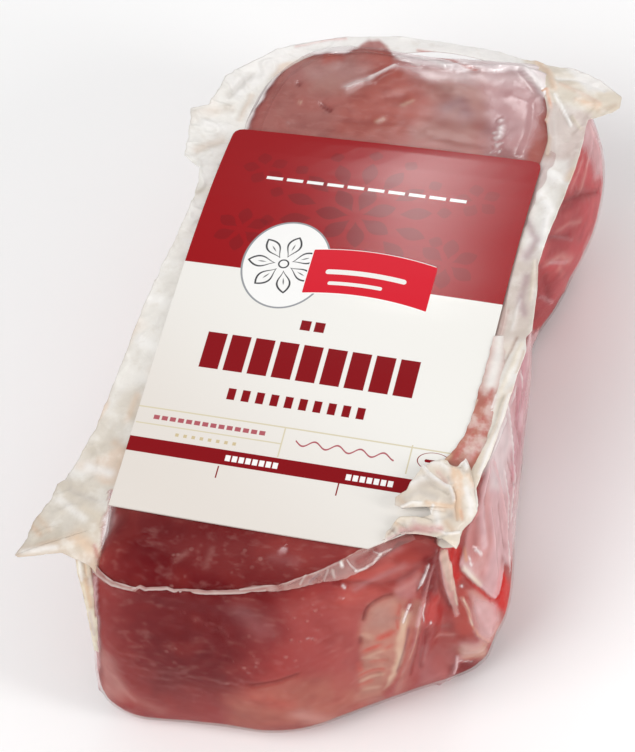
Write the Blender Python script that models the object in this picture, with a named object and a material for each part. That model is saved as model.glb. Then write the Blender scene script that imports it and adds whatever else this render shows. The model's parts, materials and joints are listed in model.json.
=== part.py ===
# Sealed pack of a whole raw beef tongue, lying on its back with the label up.
# A clear film is drawn tight round the tongue. Its two sheets are welded in a margin
# that runs round the rim, and a paper label lies on the top face.
# Metres, +Z up. +X is the label's right and +Y is the far end of the pack. The shapes
# are laid out from the label's middle, and the whole is moved last.

import math

import bmesh
import bpy
from mathutils import Vector, noise

# Label
LABEL_WIDTH = 0.100
LABEL_LENGTH = 0.150
LABEL_THICKNESS = 0.0005
LABEL_CORNER = 0.003
LABEL_GAP = 0.0003
LABEL_ROWS = 18
LABEL_COLUMNS = 12
LABEL_CORNER_STEPS = 3

# Where the label's front right corner goes under the fold: start on the front edge
# and end on the right edge
TUCK_X = 0.0285
TUCK_Y = -0.0600
TUCK_ROWS = 3

# Top face: its height over the base at the label's middle, and how it falls away
TOP_HEIGHT = 0.085
CROWN_ACROSS = 0.0005
CROWN_ALONG = 0.0041
CROWN_SWING = 0.0027
CROWN_TWIST = 0.0008
# Its far edge dips a little more, most at the left, and its near edge in the middle
FAR_DIP = 0.0013
FAR_DIP_LEFT = 0.0008
NEAR_DIP = 0.0012

# Plan of the block at its widest: corner x, corner y and corner radius
PLAN_CORNERS = (
    (-0.0580, -0.1030, 0.015),
    (0.0040, -0.1035, 0.040),
    (0.0610, -0.0660, 0.014),
    (0.0610, 0.1290, 0.024),
    (-0.0460, 0.1300, 0.034),
)
PLAN_ARC_STEPS = 12
PLAN_POINTS = 104
PLAN_MIDDLE = Vector((0.002, 0.012))
SPINE_X = 0.002
SPINE_FRONT = -0.050
SPINE_BACK = 0.080

# Wall: roundings at the foot and at the rim, and how far each is drawn in
FOOT_RADIUS = 0.013
FOOT_STEPS = 3
FOOT_INSET = 0.0015
RIM_RADIUS = 0.006
RIM_STEPS = 3
RIM_INSET = 0.0035

# The front rounds over more and leans back, its slanted right half less so
FRONT_START = -0.060
FRONT_EASE = 0.025
FRONT_RADIUS = 0.006
FRONT_LEAN = 0.0030
SLANT_START = -0.005
SLANT_EASE = 0.030
SLANT_LEAN = -0.0030
SLANT_RADIUS = -0.0045
WALL_STEPS = 9
BELLY = 0.42
CAP_STEPS = 6

# Swellings and hollows of the meat: place, reach along x, y and z, and height outward
SWELLINGS = (
    ((0.062, 0.090, 0.038), (0.030, 0.024, 0.034), 0.0042),
    ((0.060, 0.042, 0.030), (0.030, 0.021, 0.044), -0.0165),
    ((0.060, 0.076, 0.004), (0.030, 0.036, 0.026), -0.0070),
    ((0.058, 0.012, 0.016), (0.030, 0.030, 0.030), -0.0050),
    ((0.061, -0.056, 0.034), (0.020, 0.020, 0.016), 0.0040),
    ((-0.056, -0.100, 0.010), (0.020, 0.024, 0.014), 0.0035),
    ((-0.056, 0.030, 0.040), (0.030, 0.030, 0.034), -0.0030),
    ((-0.052, 0.095, 0.034), (0.030, 0.024, 0.030), 0.0030),
    ((0.005, 0.128, 0.030), (0.026, 0.030, 0.030), -0.0030),
    ((-0.050, 0.084, 0.076), (0.030, 0.020, 0.030), 0.0045),
    ((-0.040, 0.118, 0.072), (0.018, 0.018, 0.028), 0.0035),
)

# Hollows and fullness in the foot of the wall, at the waist and the near corners:
# place, reach and height outward
FOOT_HOLLOWS = (
    ((0.060, 0.062), (0.030, 0.015), -0.0072),
    ((0.060, 0.036), (0.030, 0.018), -0.0027),
    ((0.060, -0.062), (0.024, 0.020), -0.0030),
    ((-0.054, -0.100), (0.026, 0.030), 0.0040),
)

# Folds in the wall: top end, foot end, half width and height outward
FOLDS = (
    ((0.0440, -0.0720, 0.074), (0.0330, -0.0870, 0.018), 0.0055, 0.0035),
    ((0.0560, -0.0620, 0.070), (0.0500, -0.0740, 0.024), 0.0070, -0.0060),
    ((-0.0560, -0.0930, 0.080), (-0.0565, -0.0920, 0.060), 0.0060, 0.0035),
    ((-0.0440, 0.1180, 0.062), (-0.0500, 0.1160, 0.020), 0.0060, -0.0030),
    ((0.0560, 0.1160, 0.060), (0.0580, 0.1100, 0.020), 0.0060, -0.0025),
)
RIPPLE_SIZE = 0.030
RIPPLE_HEIGHT = 0.0009
FLAT_FOOT = 0.010

# Welded margin, counterclockwise from the front left tip: x and y of the outer edge,
# and how far the outer and the inner edge lie below the top face
MARGIN_CORNERS = (
    (-0.0735, -0.0950, 0.0020, 0.0010),
    (-0.0570, -0.0925, 0.0035, 0.0025),
    (-0.0490, -0.0955, 0.0088, 0.0078),
    (-0.0385, -0.0981, 0.0070, 0.0060),
    (-0.0250, -0.0970, 0.0047, 0.0037),
    (-0.0120, -0.0956, 0.0039, 0.0029),
    (0.0026, -0.0925, 0.0020, 0.0014),
    (0.0095, -0.0902, 0.0017, 0.0012),
    (0.0170, -0.0856, 0.0009, 0.0009),
    (0.0246, -0.0788, 0.0006, 0.0008),
    (0.0340, -0.0712, 0.0006, 0.0008),
    (0.0400, -0.0670, 0.0006, 0.0008),
    (0.0495, -0.0705, 0.0015, 0.0010),
    (0.0535, -0.0690, 0.0010, 0.0010),
    (0.0555, -0.0620, 0.0000, 0.0010),
    (0.0575, -0.0520, -0.0010, 0.0010),
    (0.0585, -0.0400, -0.0010, 0.0010),
    (0.0600, -0.0160, -0.0020, 0.0010),
    (0.0612, 0.0070, -0.0025, 0.0010),
    (0.0597, 0.0280, -0.0025, 0.0010),
    (0.0608, 0.0600, -0.0020, 0.0010),
    (0.0612, 0.0850, -0.0010, 0.0010),
    (0.0700, 0.0980, -0.0017, 0.0010),
    (0.0700, 0.1050, -0.0017, 0.0010),
    (0.0500, 0.1240, 0.0015, 0.0025),
    (0.0280, 0.1290, 0.0032, 0.0042),
    (-0.0200, 0.1290, 0.0024, 0.0034),
    (-0.0400, 0.1225, 0.0011, 0.0021),
    (-0.0455, 0.1170, 0.0000, 0.0012),
    (-0.0610, 0.0980, -0.0003, 0.0010),
    (-0.0675, 0.0800, -0.0003, 0.0010),
    (-0.0640, 0.0600, 0.0008, 0.0010),
    (-0.0570, 0.0550, 0.0011, 0.0010),
    (-0.0565, 0.0350, 0.0020, 0.0010),
    (-0.0600, 0.0000, 0.0020, 0.0010),
    (-0.0630, -0.0480, 0.0030, 0.0010),
    (-0.0710, -0.0760, 0.0040, 0.0010),
    (-0.0730, -0.0860, 0.0030, 0.0010),
)
MARGIN_COLUMNS = 96
MARGIN_THICKNESS = 0.0012
MARGIN_ROOT = 0.0400
MARGIN_LEAST = 0.0120
MARGIN_WAVE = 0.0008
MARGIN_WAVE_SIZE = 0.009

# Fold of the margin over the label's right edge and its front right corner, from the
# front to the back: y, x of its root in the block, x of its free edge, and height of
# the free edge above the top face
FOLD_ROWS = (
    (-0.0715, 0.0375, 0.0300, 0.0020),
    (-0.0690, 0.0410, 0.0335, 0.0026),
    (-0.0660, 0.0450, 0.0365, 0.0030),
    (-0.0625, 0.0500, 0.0440, 0.0030),
    (-0.0600, 0.0535, 0.0345, 0.0032),
    (-0.0560, 0.0545, 0.0350, 0.0040),
    (-0.0505, 0.0545, 0.0390, 0.0046),
    (-0.0455, 0.0545, 0.0430, 0.0046),
    (-0.0400, 0.0545, 0.0460, 0.0034),
    (-0.0280, 0.0545, 0.0465, 0.0028),
    (-0.0160, 0.0545, 0.0475, 0.0026),
    (-0.0020, 0.0545, 0.0503, 0.0026),
)
FOLD_SINK = 0.0030
FOLD_LIFT = 0.0028
FOLD_CLIMB = 0.0035
FOLD_BULGE = 0.0012
FOLD_STEPS = 3
FOLD_THICKNESS = 0.0010

# Finishes: colour, roughness
FILM_COLOUR = (0.42, 0.10, 0.10, 1.0)
FILM_ROUGHNESS = 0.25
LABEL_COLOUR = (0.82, 0.80, 0.76, 1.0)
LABEL_ROUGHNESS = 0.45


def clear_scene():
    """Remove what the scene starts with."""
    for item in list(bpy.data.objects):
        bpy.data.objects.remove(item, do_unlink=True)


def make_material(name, colour, roughness):
    """A plain Principled material."""
    material = bpy.data.materials.new(name)
    material.use_nodes = True
    shader = material.node_tree.nodes["Principled BSDF"]
    shader.inputs["Base Color"].default_value = colour
    shader.inputs["Roughness"].default_value = roughness
    shader.inputs["Metallic"].default_value = 0.0
    return material


def add_object(name, mesh, material):
    """Put a mesh in the scene as a named object, shaded smooth."""
    item = bpy.data.objects.new(name, mesh)
    bpy.context.scene.collection.objects.link(item)
    item.data.materials.append(material)
    item.data.shade_smooth()
    item.data.set_sharp_from_angle(angle=math.radians(40))
    return item


def smooth_step(value):
    """Ease from 0 to 1."""
    value = min(max(value, 0.0), 1.0)
    return value * value * (3.0 - 2.0 * value)


def top_height(x, y):
    """Height of the top face over the base at a point of the plan."""
    across = x / (LABEL_WIDTH / 2)
    along = y / (LABEL_LENGTH / 2)
    inside = min(max(along, -1.0), 1.0)
    height = TOP_HEIGHT - CROWN_ACROSS * across**2 - CROWN_ALONG * inside**2
    height -= CROWN_SWING * (inside**3 - inside)
    height += CROWN_TWIST * across * inside
    dip = FAR_DIP - FAR_DIP_LEFT * min(max(across, -1.25), 1.25)
    height -= dip * max(inside, 0.0) ** 3
    height -= NEAR_DIP * max(1.0 - across**2, 0.0) * max(-inside, 0.0) ** 3
    slope = 2.0 * CROWN_ALONG * inside + CROWN_SWING * (3.0 * inside**2 - 1.0)
    return height - slope * (along - inside)


def rounded_plan():
    """Points of the plan's outline, evenly spaced, counterclockwise."""
    dense = []
    count = len(PLAN_CORNERS)
    for index, (x, y, radius) in enumerate(PLAN_CORNERS):
        corner = Vector((x, y))
        before = Vector(PLAN_CORNERS[index - 1][:2]) - corner
        after = Vector(PLAN_CORNERS[(index + 1) % count][:2]) - corner
        before.normalize()
        after.normalize()
        half = before.angle(after) / 2.0
        middle = corner + (before + after).normalized() * (radius / math.sin(half))
        first = corner + before * (radius / math.tan(half)) - middle
        turn = math.pi - 2.0 * half
        for step in range(PLAN_ARC_STEPS + 1):
            angle = turn * step / PLAN_ARC_STEPS
            spoke = Vector(
                (
                    first.x * math.cos(angle) - first.y * math.sin(angle),
                    first.x * math.sin(angle) + first.y * math.cos(angle),
                )
            )
            dense.append(middle + spoke)
    return even_spacing(dense, PLAN_POINTS)


def even_spacing(points, count):
    """Read a closed line of points again at equal distances."""
    closed = points + points[:1]
    lengths = [(b - a).length for a, b in zip(closed, closed[1:])]
    total = sum(lengths)
    result = []
    index = 0
    passed = 0.0
    for step in range(count):
        goal = total * step / count
        while passed + lengths[index] < goal:
            passed += lengths[index]
            index += 1
        share = (goal - passed) / lengths[index]
        result.append(closed[index].lerp(closed[index + 1], share))
    return result


def spine_point(point):
    """The place on the block's middle line that is nearest a point of the plan."""
    return Vector((SPINE_X, min(max(point.y, SPINE_FRONT), SPINE_BACK)))


def toward_spine(point):
    """Direction from a point of the plan to the block's middle line."""
    return (spine_point(point) - point).normalized()


def rim_shape(base):
    """How far the wall is drawn in at the rim, and the rim's rounding."""
    front = smooth_step((FRONT_START - base.y) / FRONT_EASE)
    slant = front * smooth_step((base.x - SLANT_START) / SLANT_EASE)
    inset = RIM_INSET + FRONT_LEAN * front + SLANT_LEAN * slant
    return inset, RIM_RADIUS + FRONT_RADIUS * front + SLANT_RADIUS * slant


def distance_to_line(point, start, end):
    """Distance from a point to a straight piece of line."""
    along = end - start
    share = (point - start).dot(along) / along.length_squared
    return (point - start - along * min(max(share, 0.0), 1.0)).length


def meat_relief(point):
    """How far the wrapped meat stands out at a point of the wall."""
    height = 0.0
    for place, reach, rise in SWELLINGS:
        offset = [(a - b) / r for a, b, r in zip(point, place, reach)]
        height += rise * math.exp(-sum(value * value for value in offset))
    for start, end, half_width, rise in FOLDS:
        distance = distance_to_line(point, Vector(start), Vector(end))
        height += rise * math.exp(-((distance / half_width) ** 2))
    height += RIPPLE_HEIGHT * noise.noise(point / RIPPLE_SIZE)
    foot = 0.0
    for place, reach, rise in FOOT_HOLLOWS:
        offset = [(a - b) / r for a, b, r in zip(point, place, reach)]
        foot += rise * math.exp(-sum(value * value for value in offset))
    share = smooth_step(point.z / FLAT_FOOT)
    return height * share + foot * (1.0 - share)


def wall_point(base, inset, height):
    """A point of the wall, with the relief of the meat under the film."""
    inward = toward_spine(base)
    plan = base + inward * inset
    point = Vector((plan.x, plan.y, height))
    rise = meat_relief(point)
    return point - Vector((inward.x, inward.y, 0.0)) * rise


def wall_rings(outline):
    """Rings of points up the wall, from the flat foot to the top face."""
    rings = []
    for step in range(FOOT_STEPS + 1):
        angle = math.pi / 2 * step / FOOT_STEPS
        inset = FOOT_INSET + FOOT_RADIUS * (1.0 - math.sin(angle))
        height = FOOT_RADIUS * (1.0 - math.cos(angle))
        rings.append([wall_point(base, inset, height) for base in outline])
    for step in range(1, WALL_STEPS):
        share = step / WALL_STEPS
        ring = []
        for base in outline:
            rim_inset, radius = rim_shape(base)
            rim = top_height(base.x, base.y) - radius
            height = FOOT_RADIUS + (rim - FOOT_RADIUS) * share
            if share < BELLY:
                inset = FOOT_INSET * (1.0 - share / BELLY) ** 2
            else:
                inset = rim_inset * ((share - BELLY) / (1.0 - BELLY)) ** 2
            ring.append(wall_point(base, inset, height))
        rings.append(ring)
    for step in range(RIM_STEPS + 1):
        angle = math.pi / 2 * step / RIM_STEPS
        ring = []
        for base in outline:
            rim_inset, radius = rim_shape(base)
            inset = rim_inset + radius * (1.0 - math.cos(angle))
            height = top_height(base.x, base.y) - radius * (1.0 - math.sin(angle))
            ring.append(wall_point(base, inset, height))
        rings.append(ring)
    return rings


def shrink_ring(ring, share, height_at):
    """A ring of a cap, drawn towards the middle of the plan."""
    result = []
    for point in ring:
        plan = PLAN_MIDDLE.lerp(Vector((point.x, point.y)), share)
        result.append(Vector((plan.x, plan.y, height_at(plan.x, plan.y))))
    return result


def skin_rings(mesh, rings):
    """Join rings of points with quads and close both ends with fans."""
    loops = [[mesh.verts.new(point) for point in ring] for ring in rings]
    count = len(loops[0])
    for low, high in zip(loops, loops[1:]):
        for index in range(count):
            after = (index + 1) % count
            mesh.faces.new((low[index], low[after], high[after], high[index]))
    for loop, turn in ((loops[0], -1), (loops[-1], 1)):
        middle = sum((vert.co for vert in loop), Vector()) / count
        centre = mesh.verts.new(middle)
        for index in range(count):
            pair = (loop[index], loop[(index + 1) % count])[::turn]
            mesh.faces.new((*pair, centre))


def build_block():
    """The tongue under its film: wall, top face and flat foot as one closed mesh."""
    outline = rounded_plan()
    rings = wall_rings(outline)
    shares = [1.0 - step / CAP_STEPS for step in range(1, CAP_STEPS)]
    foot = [shrink_ring(rings[0], share, lambda x, y: 0.0) for share in shares[::2]]
    top = [shrink_ring(rings[-1], share, top_height) for share in shares]
    mesh = bmesh.new()
    skin_rings(mesh, foot[::-1] + rings + top)
    return mesh


def margin_columns():
    """Outer edge of the margin: plan point, outer drop and inner drop."""
    columns = []
    count = len(MARGIN_CORNERS)
    corners = [Vector(corner[:2]) for corner in MARGIN_CORNERS]
    sides = [(corners[(i + 1) % count] - corners[i]).length for i in range(count)]
    pitch = sum(sides) / MARGIN_COLUMNS
    for index in range(count):
        here = MARGIN_CORNERS[index]
        after = MARGIN_CORNERS[(index + 1) % count]
        steps = max(1, round(sides[index] / pitch))
        for step in range(steps):
            share = step / steps
            row = [a + (b - a) * share for a, b in zip(here, after)]
            columns.append(row)
    return columns


def build_margin():
    """The welded margin: a thin wavy band round the rim, its root in the block."""
    mesh = bmesh.new()
    loops = []
    for x, y, outer_drop, inner_drop in margin_columns():
        outer = Vector((x, y))
        spine = spine_point(outer)
        reach = (outer - spine).length
        inner = spine.lerp(outer, min(MARGIN_ROOT, reach - MARGIN_LEAST) / reach)
        section = []
        for share in (0.0, 0.5, 1.0):
            plan = inner.lerp(outer, share)
            drop = inner_drop + (outer_drop - inner_drop) * share**2
            height = top_height(plan.x, plan.y) - drop
            wave = noise.noise(Vector((plan.x, plan.y, share)) / MARGIN_WAVE_SIZE)
            height += MARGIN_WAVE * wave * smooth_step(2.0 * share - 1.0)
            section.append(Vector((plan.x, plan.y, height)))
        below = Vector((0.0, 0.0, -MARGIN_THICKNESS))
        points = section + [point + below for point in reversed(section)]
        loops.append([mesh.verts.new(point) for point in points])
    for index, loop in enumerate(loops):
        after = loops[(index + 1) % len(loops)]
        for corner in range(len(loop)):
            other = (corner + 1) % len(loop)
            mesh.faces.new((loop[corner], loop[other], after[other], after[corner]))
    bmesh.ops.recalc_face_normals(mesh, faces=mesh.faces)
    return mesh


def fold_section(root_x, edge_x, edge_height):
    """Places across the fold from its root: x and height above the top face."""
    climb = ((0.0, -FOLD_SINK), (0.5, (FOLD_LIFT - FOLD_SINK) / 2.0))
    section = [(root_x - FOLD_CLIMB * share, height) for share, height in climb]
    start = root_x - FOLD_CLIMB
    for step in range(FOLD_STEPS + 1):
        share = step / FOLD_STEPS
        height = FOLD_LIFT + (edge_height - FOLD_LIFT) * share
        height += FOLD_BULGE * math.sin(share * math.pi)
        section.append((start + (edge_x - start) * share, height))
    return section


def build_fold():
    """The margin's fold, arched over the label's right edge and front right corner."""
    mesh = bmesh.new()
    layers = []
    for lift in (0.0, -FOLD_THICKNESS):
        grid = []
        for y, root_x, edge_x, edge_height in FOLD_ROWS:
            row = []
            for x, height in fold_section(root_x, edge_x, edge_height):
                row.append(mesh.verts.new((x, y, top_height(x, y) + height + lift)))
            grid.append(row)
        layers.append(grid)
    upper, lower = layers
    rows = len(upper)
    columns = len(upper[0])
    for i in range(rows - 1):
        for j in range(columns - 1):
            square = ((i, j), (i, j + 1), (i + 1, j + 1), (i + 1, j))
            mesh.faces.new([upper[a][b] for a, b in square])
            mesh.faces.new([lower[a][b] for a, b in reversed(square)])
    border = [(0, j) for j in range(columns)]
    border += [(i, columns - 1) for i in range(1, rows)]
    border += [(rows - 1, j) for j in range(columns - 2, -1, -1)]
    border += [(i, 0) for i in range(rows - 2, 0, -1)]
    for (a, b), (c, d) in zip(border, border[1:] + border[:1]):
        mesh.faces.new((upper[a][b], lower[a][b], lower[c][d], upper[c][d]))
    bmesh.ops.recalc_face_normals(mesh, faces=mesh.faces)
    return mesh


def to_mesh(name, source):
    """Turn a bmesh into a mesh."""
    mesh = bpy.data.meshes.new(name)
    source.to_mesh(mesh)
    source.free()
    return mesh


def build_pack():
    """Block, margin and fold joined into one solid."""
    film = make_material("film_over_meat", FILM_COLOUR, FILM_ROUGHNESS)
    pack = add_object("sealed_pack", to_mesh("sealed_pack", build_block()), film)
    group = bpy.data.collections.new("film_edges")
    bpy.context.scene.collection.children.link(group)
    for name, source in (("margin", build_margin()), ("fold", build_fold())):
        edge = bpy.data.objects.new(name, to_mesh(name, source))
        group.objects.link(edge)
        edge.data.materials.append(film)
    union = pack.modifiers.new("join_film_edges", "BOOLEAN")
    union.operation = "UNION"
    union.operand_type = "COLLECTION"
    union.collection = group
    union.solver = "EXACT"
    joined = bpy.data.meshes.new_from_object(
        pack.evaluated_get(bpy.context.evaluated_depsgraph_get())
    )
    pack.modifiers.clear()
    pack.data = joined
    for edge in list(group.objects):
        bpy.data.objects.remove(edge, do_unlink=True)
    bpy.data.collections.remove(group)
    joined.shade_smooth()
    joined.set_sharp_from_angle(angle=math.radians(40))
    return pack


def label_edges(y):
    """The label's left and right edge at a place along it."""
    half = LABEL_WIDTH / 2
    past = y - (LABEL_LENGTH / 2 - LABEL_CORNER)
    if past > 0.0:
        half -= LABEL_CORNER - math.sqrt(max(LABEL_CORNER**2 - past**2, 0.0))
    share = (y + LABEL_LENGTH / 2) / (TUCK_Y + LABEL_LENGTH / 2)
    return -half, min(half, TUCK_X + (LABEL_WIDTH / 2 - TUCK_X) * share)


def label_rows():
    """Places along the label, close together at its rounded far corners."""
    start = -LABEL_LENGTH / 2
    end = LABEL_LENGTH / 2 - LABEL_CORNER
    rows = [start + (TUCK_Y - start) * i / TUCK_ROWS for i in range(TUCK_ROWS)]
    rows += [TUCK_Y + (end - TUCK_Y) * i / LABEL_ROWS for i in range(LABEL_ROWS + 1)]
    for step in range(1, LABEL_CORNER_STEPS + 1):
        angle = math.pi / 2 * step / LABEL_CORNER_STEPS
        rows.append(end + LABEL_CORNER * math.sin(angle))
    return rows


def build_label():
    """The paper label: a thin plate that follows the top face."""
    paper = make_material("label_paper", LABEL_COLOUR, LABEL_ROUGHNESS)
    mesh = bmesh.new()
    layers = []
    for lift in (LABEL_GAP + LABEL_THICKNESS, LABEL_GAP):
        grid = []
        for y in label_rows():
            left, right = label_edges(y)
            row = []
            for column in range(LABEL_COLUMNS + 1):
                x = left + (right - left) * column / LABEL_COLUMNS
                row.append(mesh.verts.new((x, y, top_height(x, y) + lift)))
            grid.append(row)
        layers.append(grid)
    upper, lower = layers
    rows = len(upper)
    for i in range(rows - 1):
        for j in range(LABEL_COLUMNS):
            square = ((i, j), (i, j + 1), (i + 1, j + 1), (i + 1, j))
            mesh.faces.new([upper[a][b] for a, b in square])
            mesh.faces.new([lower[a][b] for a, b in reversed(square)])
        for j, turn in ((0, 1), (LABEL_COLUMNS, -1)):
            side = (upper[i][j], upper[i + 1][j], lower[i + 1][j], lower[i][j])
            mesh.faces.new(side[::turn])
    for j in range(LABEL_COLUMNS):
        for i, turn in ((0, -1), (rows - 1, 1)):
            side = (upper[i][j], upper[i][j + 1], lower[i][j + 1], lower[i][j])
            mesh.faces.new(side[::turn])
    bmesh.ops.recalc_face_normals(mesh, faces=mesh.faces)
    return add_object("label", to_mesh("label", mesh), paper)


def stand_on_origin(items):
    """Move all meshes so that the box stands on the origin, centred."""
    points = [vert.co for item in items for vert in item.data.vertices]
    low = [min(point[axis] for point in points) for axis in range(3)]
    high = [max(point[axis] for point in points) for axis in range(3)]
    shift = Vector((-(low[0] + high[0]) / 2, -(low[1] + high[1]) / 2, -low[2]))
    for item in items:
        for vert in item.data.vertices:
            vert.co += shift
    print("moved by", [round(value * 1000, 3) for value in shift], "mm")


clear_scene()
stand_on_origin([build_pack(), build_label()])
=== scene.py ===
import json
import math

import bpy
import numpy as np
from mathutils import Matrix, Vector, noise
from mathutils.bvhtree import BVHTree

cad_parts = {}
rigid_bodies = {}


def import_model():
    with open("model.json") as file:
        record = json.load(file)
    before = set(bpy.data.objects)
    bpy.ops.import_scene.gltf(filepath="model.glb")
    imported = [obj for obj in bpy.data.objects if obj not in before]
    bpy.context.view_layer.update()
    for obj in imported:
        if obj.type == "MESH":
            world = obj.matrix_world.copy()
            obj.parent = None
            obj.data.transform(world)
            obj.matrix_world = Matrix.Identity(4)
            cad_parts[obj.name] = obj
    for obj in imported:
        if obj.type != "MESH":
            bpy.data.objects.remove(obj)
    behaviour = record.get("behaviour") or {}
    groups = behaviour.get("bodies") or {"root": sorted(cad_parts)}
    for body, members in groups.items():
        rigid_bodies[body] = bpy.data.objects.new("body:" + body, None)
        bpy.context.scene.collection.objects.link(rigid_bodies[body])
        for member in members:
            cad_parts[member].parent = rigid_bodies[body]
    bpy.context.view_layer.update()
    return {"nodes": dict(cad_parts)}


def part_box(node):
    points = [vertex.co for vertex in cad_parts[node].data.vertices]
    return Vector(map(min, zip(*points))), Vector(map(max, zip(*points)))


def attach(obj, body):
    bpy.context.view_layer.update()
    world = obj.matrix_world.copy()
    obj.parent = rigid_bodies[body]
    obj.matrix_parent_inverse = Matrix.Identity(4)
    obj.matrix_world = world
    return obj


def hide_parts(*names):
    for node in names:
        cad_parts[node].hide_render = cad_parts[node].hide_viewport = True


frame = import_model()

mm = 0.001
labelLow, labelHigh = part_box("label")
middle = Vector(((labelLow.x + labelHigh.x) / 2, (labelLow.y + labelHigh.y) / 2, 0.0))


# Camera: a long lens from the front right, turned a little about its own axis
view = dict(
    width=635, height=752,  # the picture, in pixels
    focal=3500,  # focal length in pixels
    turn=20.01, rise=53.44, roll=7.97,  # degrees
    across=4.15 * mm, up=16.39 * mm, away=1060.9 * mm,
    aim=0.085,  # height of the label's middle
)


def cameraAxes():
    turn, rise, roll = (math.radians(view[key]) for key in ("turn", "rise", "roll"))
    back = Vector((math.sin(turn) * math.cos(rise), -math.cos(turn) * math.cos(rise), math.sin(rise)))
    right = Vector((math.cos(turn), math.sin(turn), 0.0))
    up = back.cross(right)
    level = math.cos(roll) * right - math.sin(roll) * up
    return level, math.sin(roll) * right + math.cos(roll) * up, back


def addCamera():
    right, up, back = cameraAxes()
    shot = bpy.data.cameras.new("packCamera")
    shot.sensor_width = 36
    shot.lens = view["focal"] / view["height"] * shot.sensor_width
    shot.clip_start, shot.clip_end = 0.05, 10
    item = bpy.data.objects.new("packCamera", shot)
    bpy.context.scene.collection.objects.link(item)
    pose = Matrix((right, up, back)).transposed().to_4x4()
    aim = middle + Vector((0, 0, view["aim"]))
    pose.translation = aim - right * view["across"] - up * view["up"] + back * view["away"]
    item.matrix_world = pose
    bpy.context.scene.camera = item
    return pose.translation.copy()


cameraPlace = addCamera()
print("camera set")


def sightLine(across, down):  # direction from the camera through a place in the picture
    right, up, back = cameraAxes()
    x = (across - view["width"] / 2) / view["focal"]
    y = (view["height"] / 2 - down) / view["focal"]
    return (right * x + up * y - back).normalized()


def sightLines(picture):  # the same for many places, each one step deep
    right, up, back = (np.array(axis) for axis in cameraAxes())
    rays = np.outer((picture[:, 0] - view["width"] / 2) / view["focal"], right) - back
    return rays + np.outer((view["height"] / 2 - picture[:, 1]) / view["focal"], up)


def inPicture(places):  # where places show in the picture, in pixels
    right, up, back = (np.array(axis) for axis in cameraAxes())
    rays = places - np.array(cameraPlace)
    depth = -(rays @ back)
    across = view["width"] / 2 + view["focal"] * (rays @ right) / depth
    return np.stack((across, view["height"] / 2 - view["focal"] * (rays @ up) / depth), 1)


# Small tools

def clearSelection():
    for item in bpy.context.view_layer.objects:
        item.select_set(False)
    bpy.context.view_layer.objects.active = None


def makeActive(item):
    clearSelection()
    item.select_set(True)
    bpy.context.view_layer.objects.active = item


def readPlaces(item):
    places = np.zeros(len(item.data.vertices) * 3, np.float32)
    item.data.vertices.foreach_get("co", places)
    return places.reshape(-1, 3).astype(float)


def setPlaces(item, places):
    item.data.vertices.foreach_set("co", np.asarray(places, np.float32).ravel())
    item.data.update()


def readNormals(item):
    normals = np.zeros(len(item.data.vertices) * 3, np.float32)
    item.data.vertex_normals.foreach_get("vector", normals)
    return normals.reshape(-1, 3).astype(float)


def setMask(item, name, values):
    mask = item.data.attributes.new(name, "FLOAT", "POINT")
    mask.data.foreach_set("value", np.asarray(values, np.float32))


def setPaint(item, name, colours):
    paint = item.data.color_attributes.new(name, "FLOAT_COLOR", "POINT")
    full = np.ones((len(colours), 4), np.float32)
    full[:, :3] = colours
    paint.data.foreach_set("color", full.ravel())


def flatSheet(name, columns, rows):  # a grid from 0 to 1 each way, to be laid on a form
    clearSelection()
    bpy.ops.mesh.primitive_grid_add(x_subdivisions=columns, y_subdivisions=rows, size=2, location=(0, 0, 0))
    item = bpy.context.object
    item.name = name
    item.data.name = name
    places = readPlaces(item)
    return item, (places[:, 0] + 1) / 2, (places[:, 1] + 1) / 2


def closeSeams(item, gap=0.002 * mm):
    makeActive(item)
    bpy.ops.object.mode_set(mode="EDIT")
    bpy.ops.mesh.select_all(action="SELECT")
    bpy.ops.mesh.remove_doubles(threshold=gap)
    bpy.ops.mesh.normals_make_consistent(inside=False)
    bpy.ops.object.mode_set(mode="OBJECT")


def giveThickness(item, thickness):
    makeActive(item)
    wall = item.modifiers.new("thickness", "SOLIDIFY")
    wall.thickness = thickness
    wall.offset = 0
    bpy.ops.object.modifier_apply(modifier=wall.name)


def finishPiece(item, material, slot, *replaced):
    item.data.materials.clear()
    item.data.materials.append(material)
    makeActive(item)
    bpy.ops.object.shade_smooth()
    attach(item, "root")
    if replaced:
        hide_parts(*replaced)


def ease(value):
    value = np.clip(value, 0.0, 1.0)
    return value * value * (3.0 - 2.0 * value)


def grain(places, size, seed=0.0):  # smooth noise from about -1 to 1
    shift = Vector((seed * 3.1, seed * 1.7, seed * 2.3))
    return np.array([noise.noise(Vector(place) / size + shift) for place in places])


def mixed(first, second, share):
    share = np.asarray(share)[:, None]
    return first * (1 - share) + np.asarray(second) * share


def tone(red, green, blue):  # a colour as a picture shows it, turned into light
    return tuple(((part / 255 + 0.055) / 1.055) ** 2.4 for part in (red, green, blue))


def inPatch(picture, corners, soft):  # 1 inside an outline in the picture, fading at its edge
    corners = np.array(corners, float)
    inside = np.zeros(len(picture), bool)
    away = np.full(len(picture), 1e9)
    for a, b in zip(corners, np.roll(corners, -1, 0)):
        crosses = (a[1] > picture[:, 1]) != (b[1] > picture[:, 1])
        slope = (b[0] - a[0]) / (b[1] - a[1] if b[1] != a[1] else 1e-9)
        inside ^= crosses & (picture[:, 0] < a[0] + (picture[:, 1] - a[1]) * slope)
        away = np.minimum(away, nearLine(picture, a, b))
    return ease(0.5 + np.where(inside, away, -away) / soft)


def nearStroke(picture, stroke):  # pixels from a line drawn in the picture
    stroke = [np.array(spot, float) for spot in stroke]
    if len(stroke) == 1:
        return np.linalg.norm(picture - stroke[0], axis=1)
    return np.min([nearLine(picture, a, b) for a, b in zip(stroke, stroke[1:])], axis=0)


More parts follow.
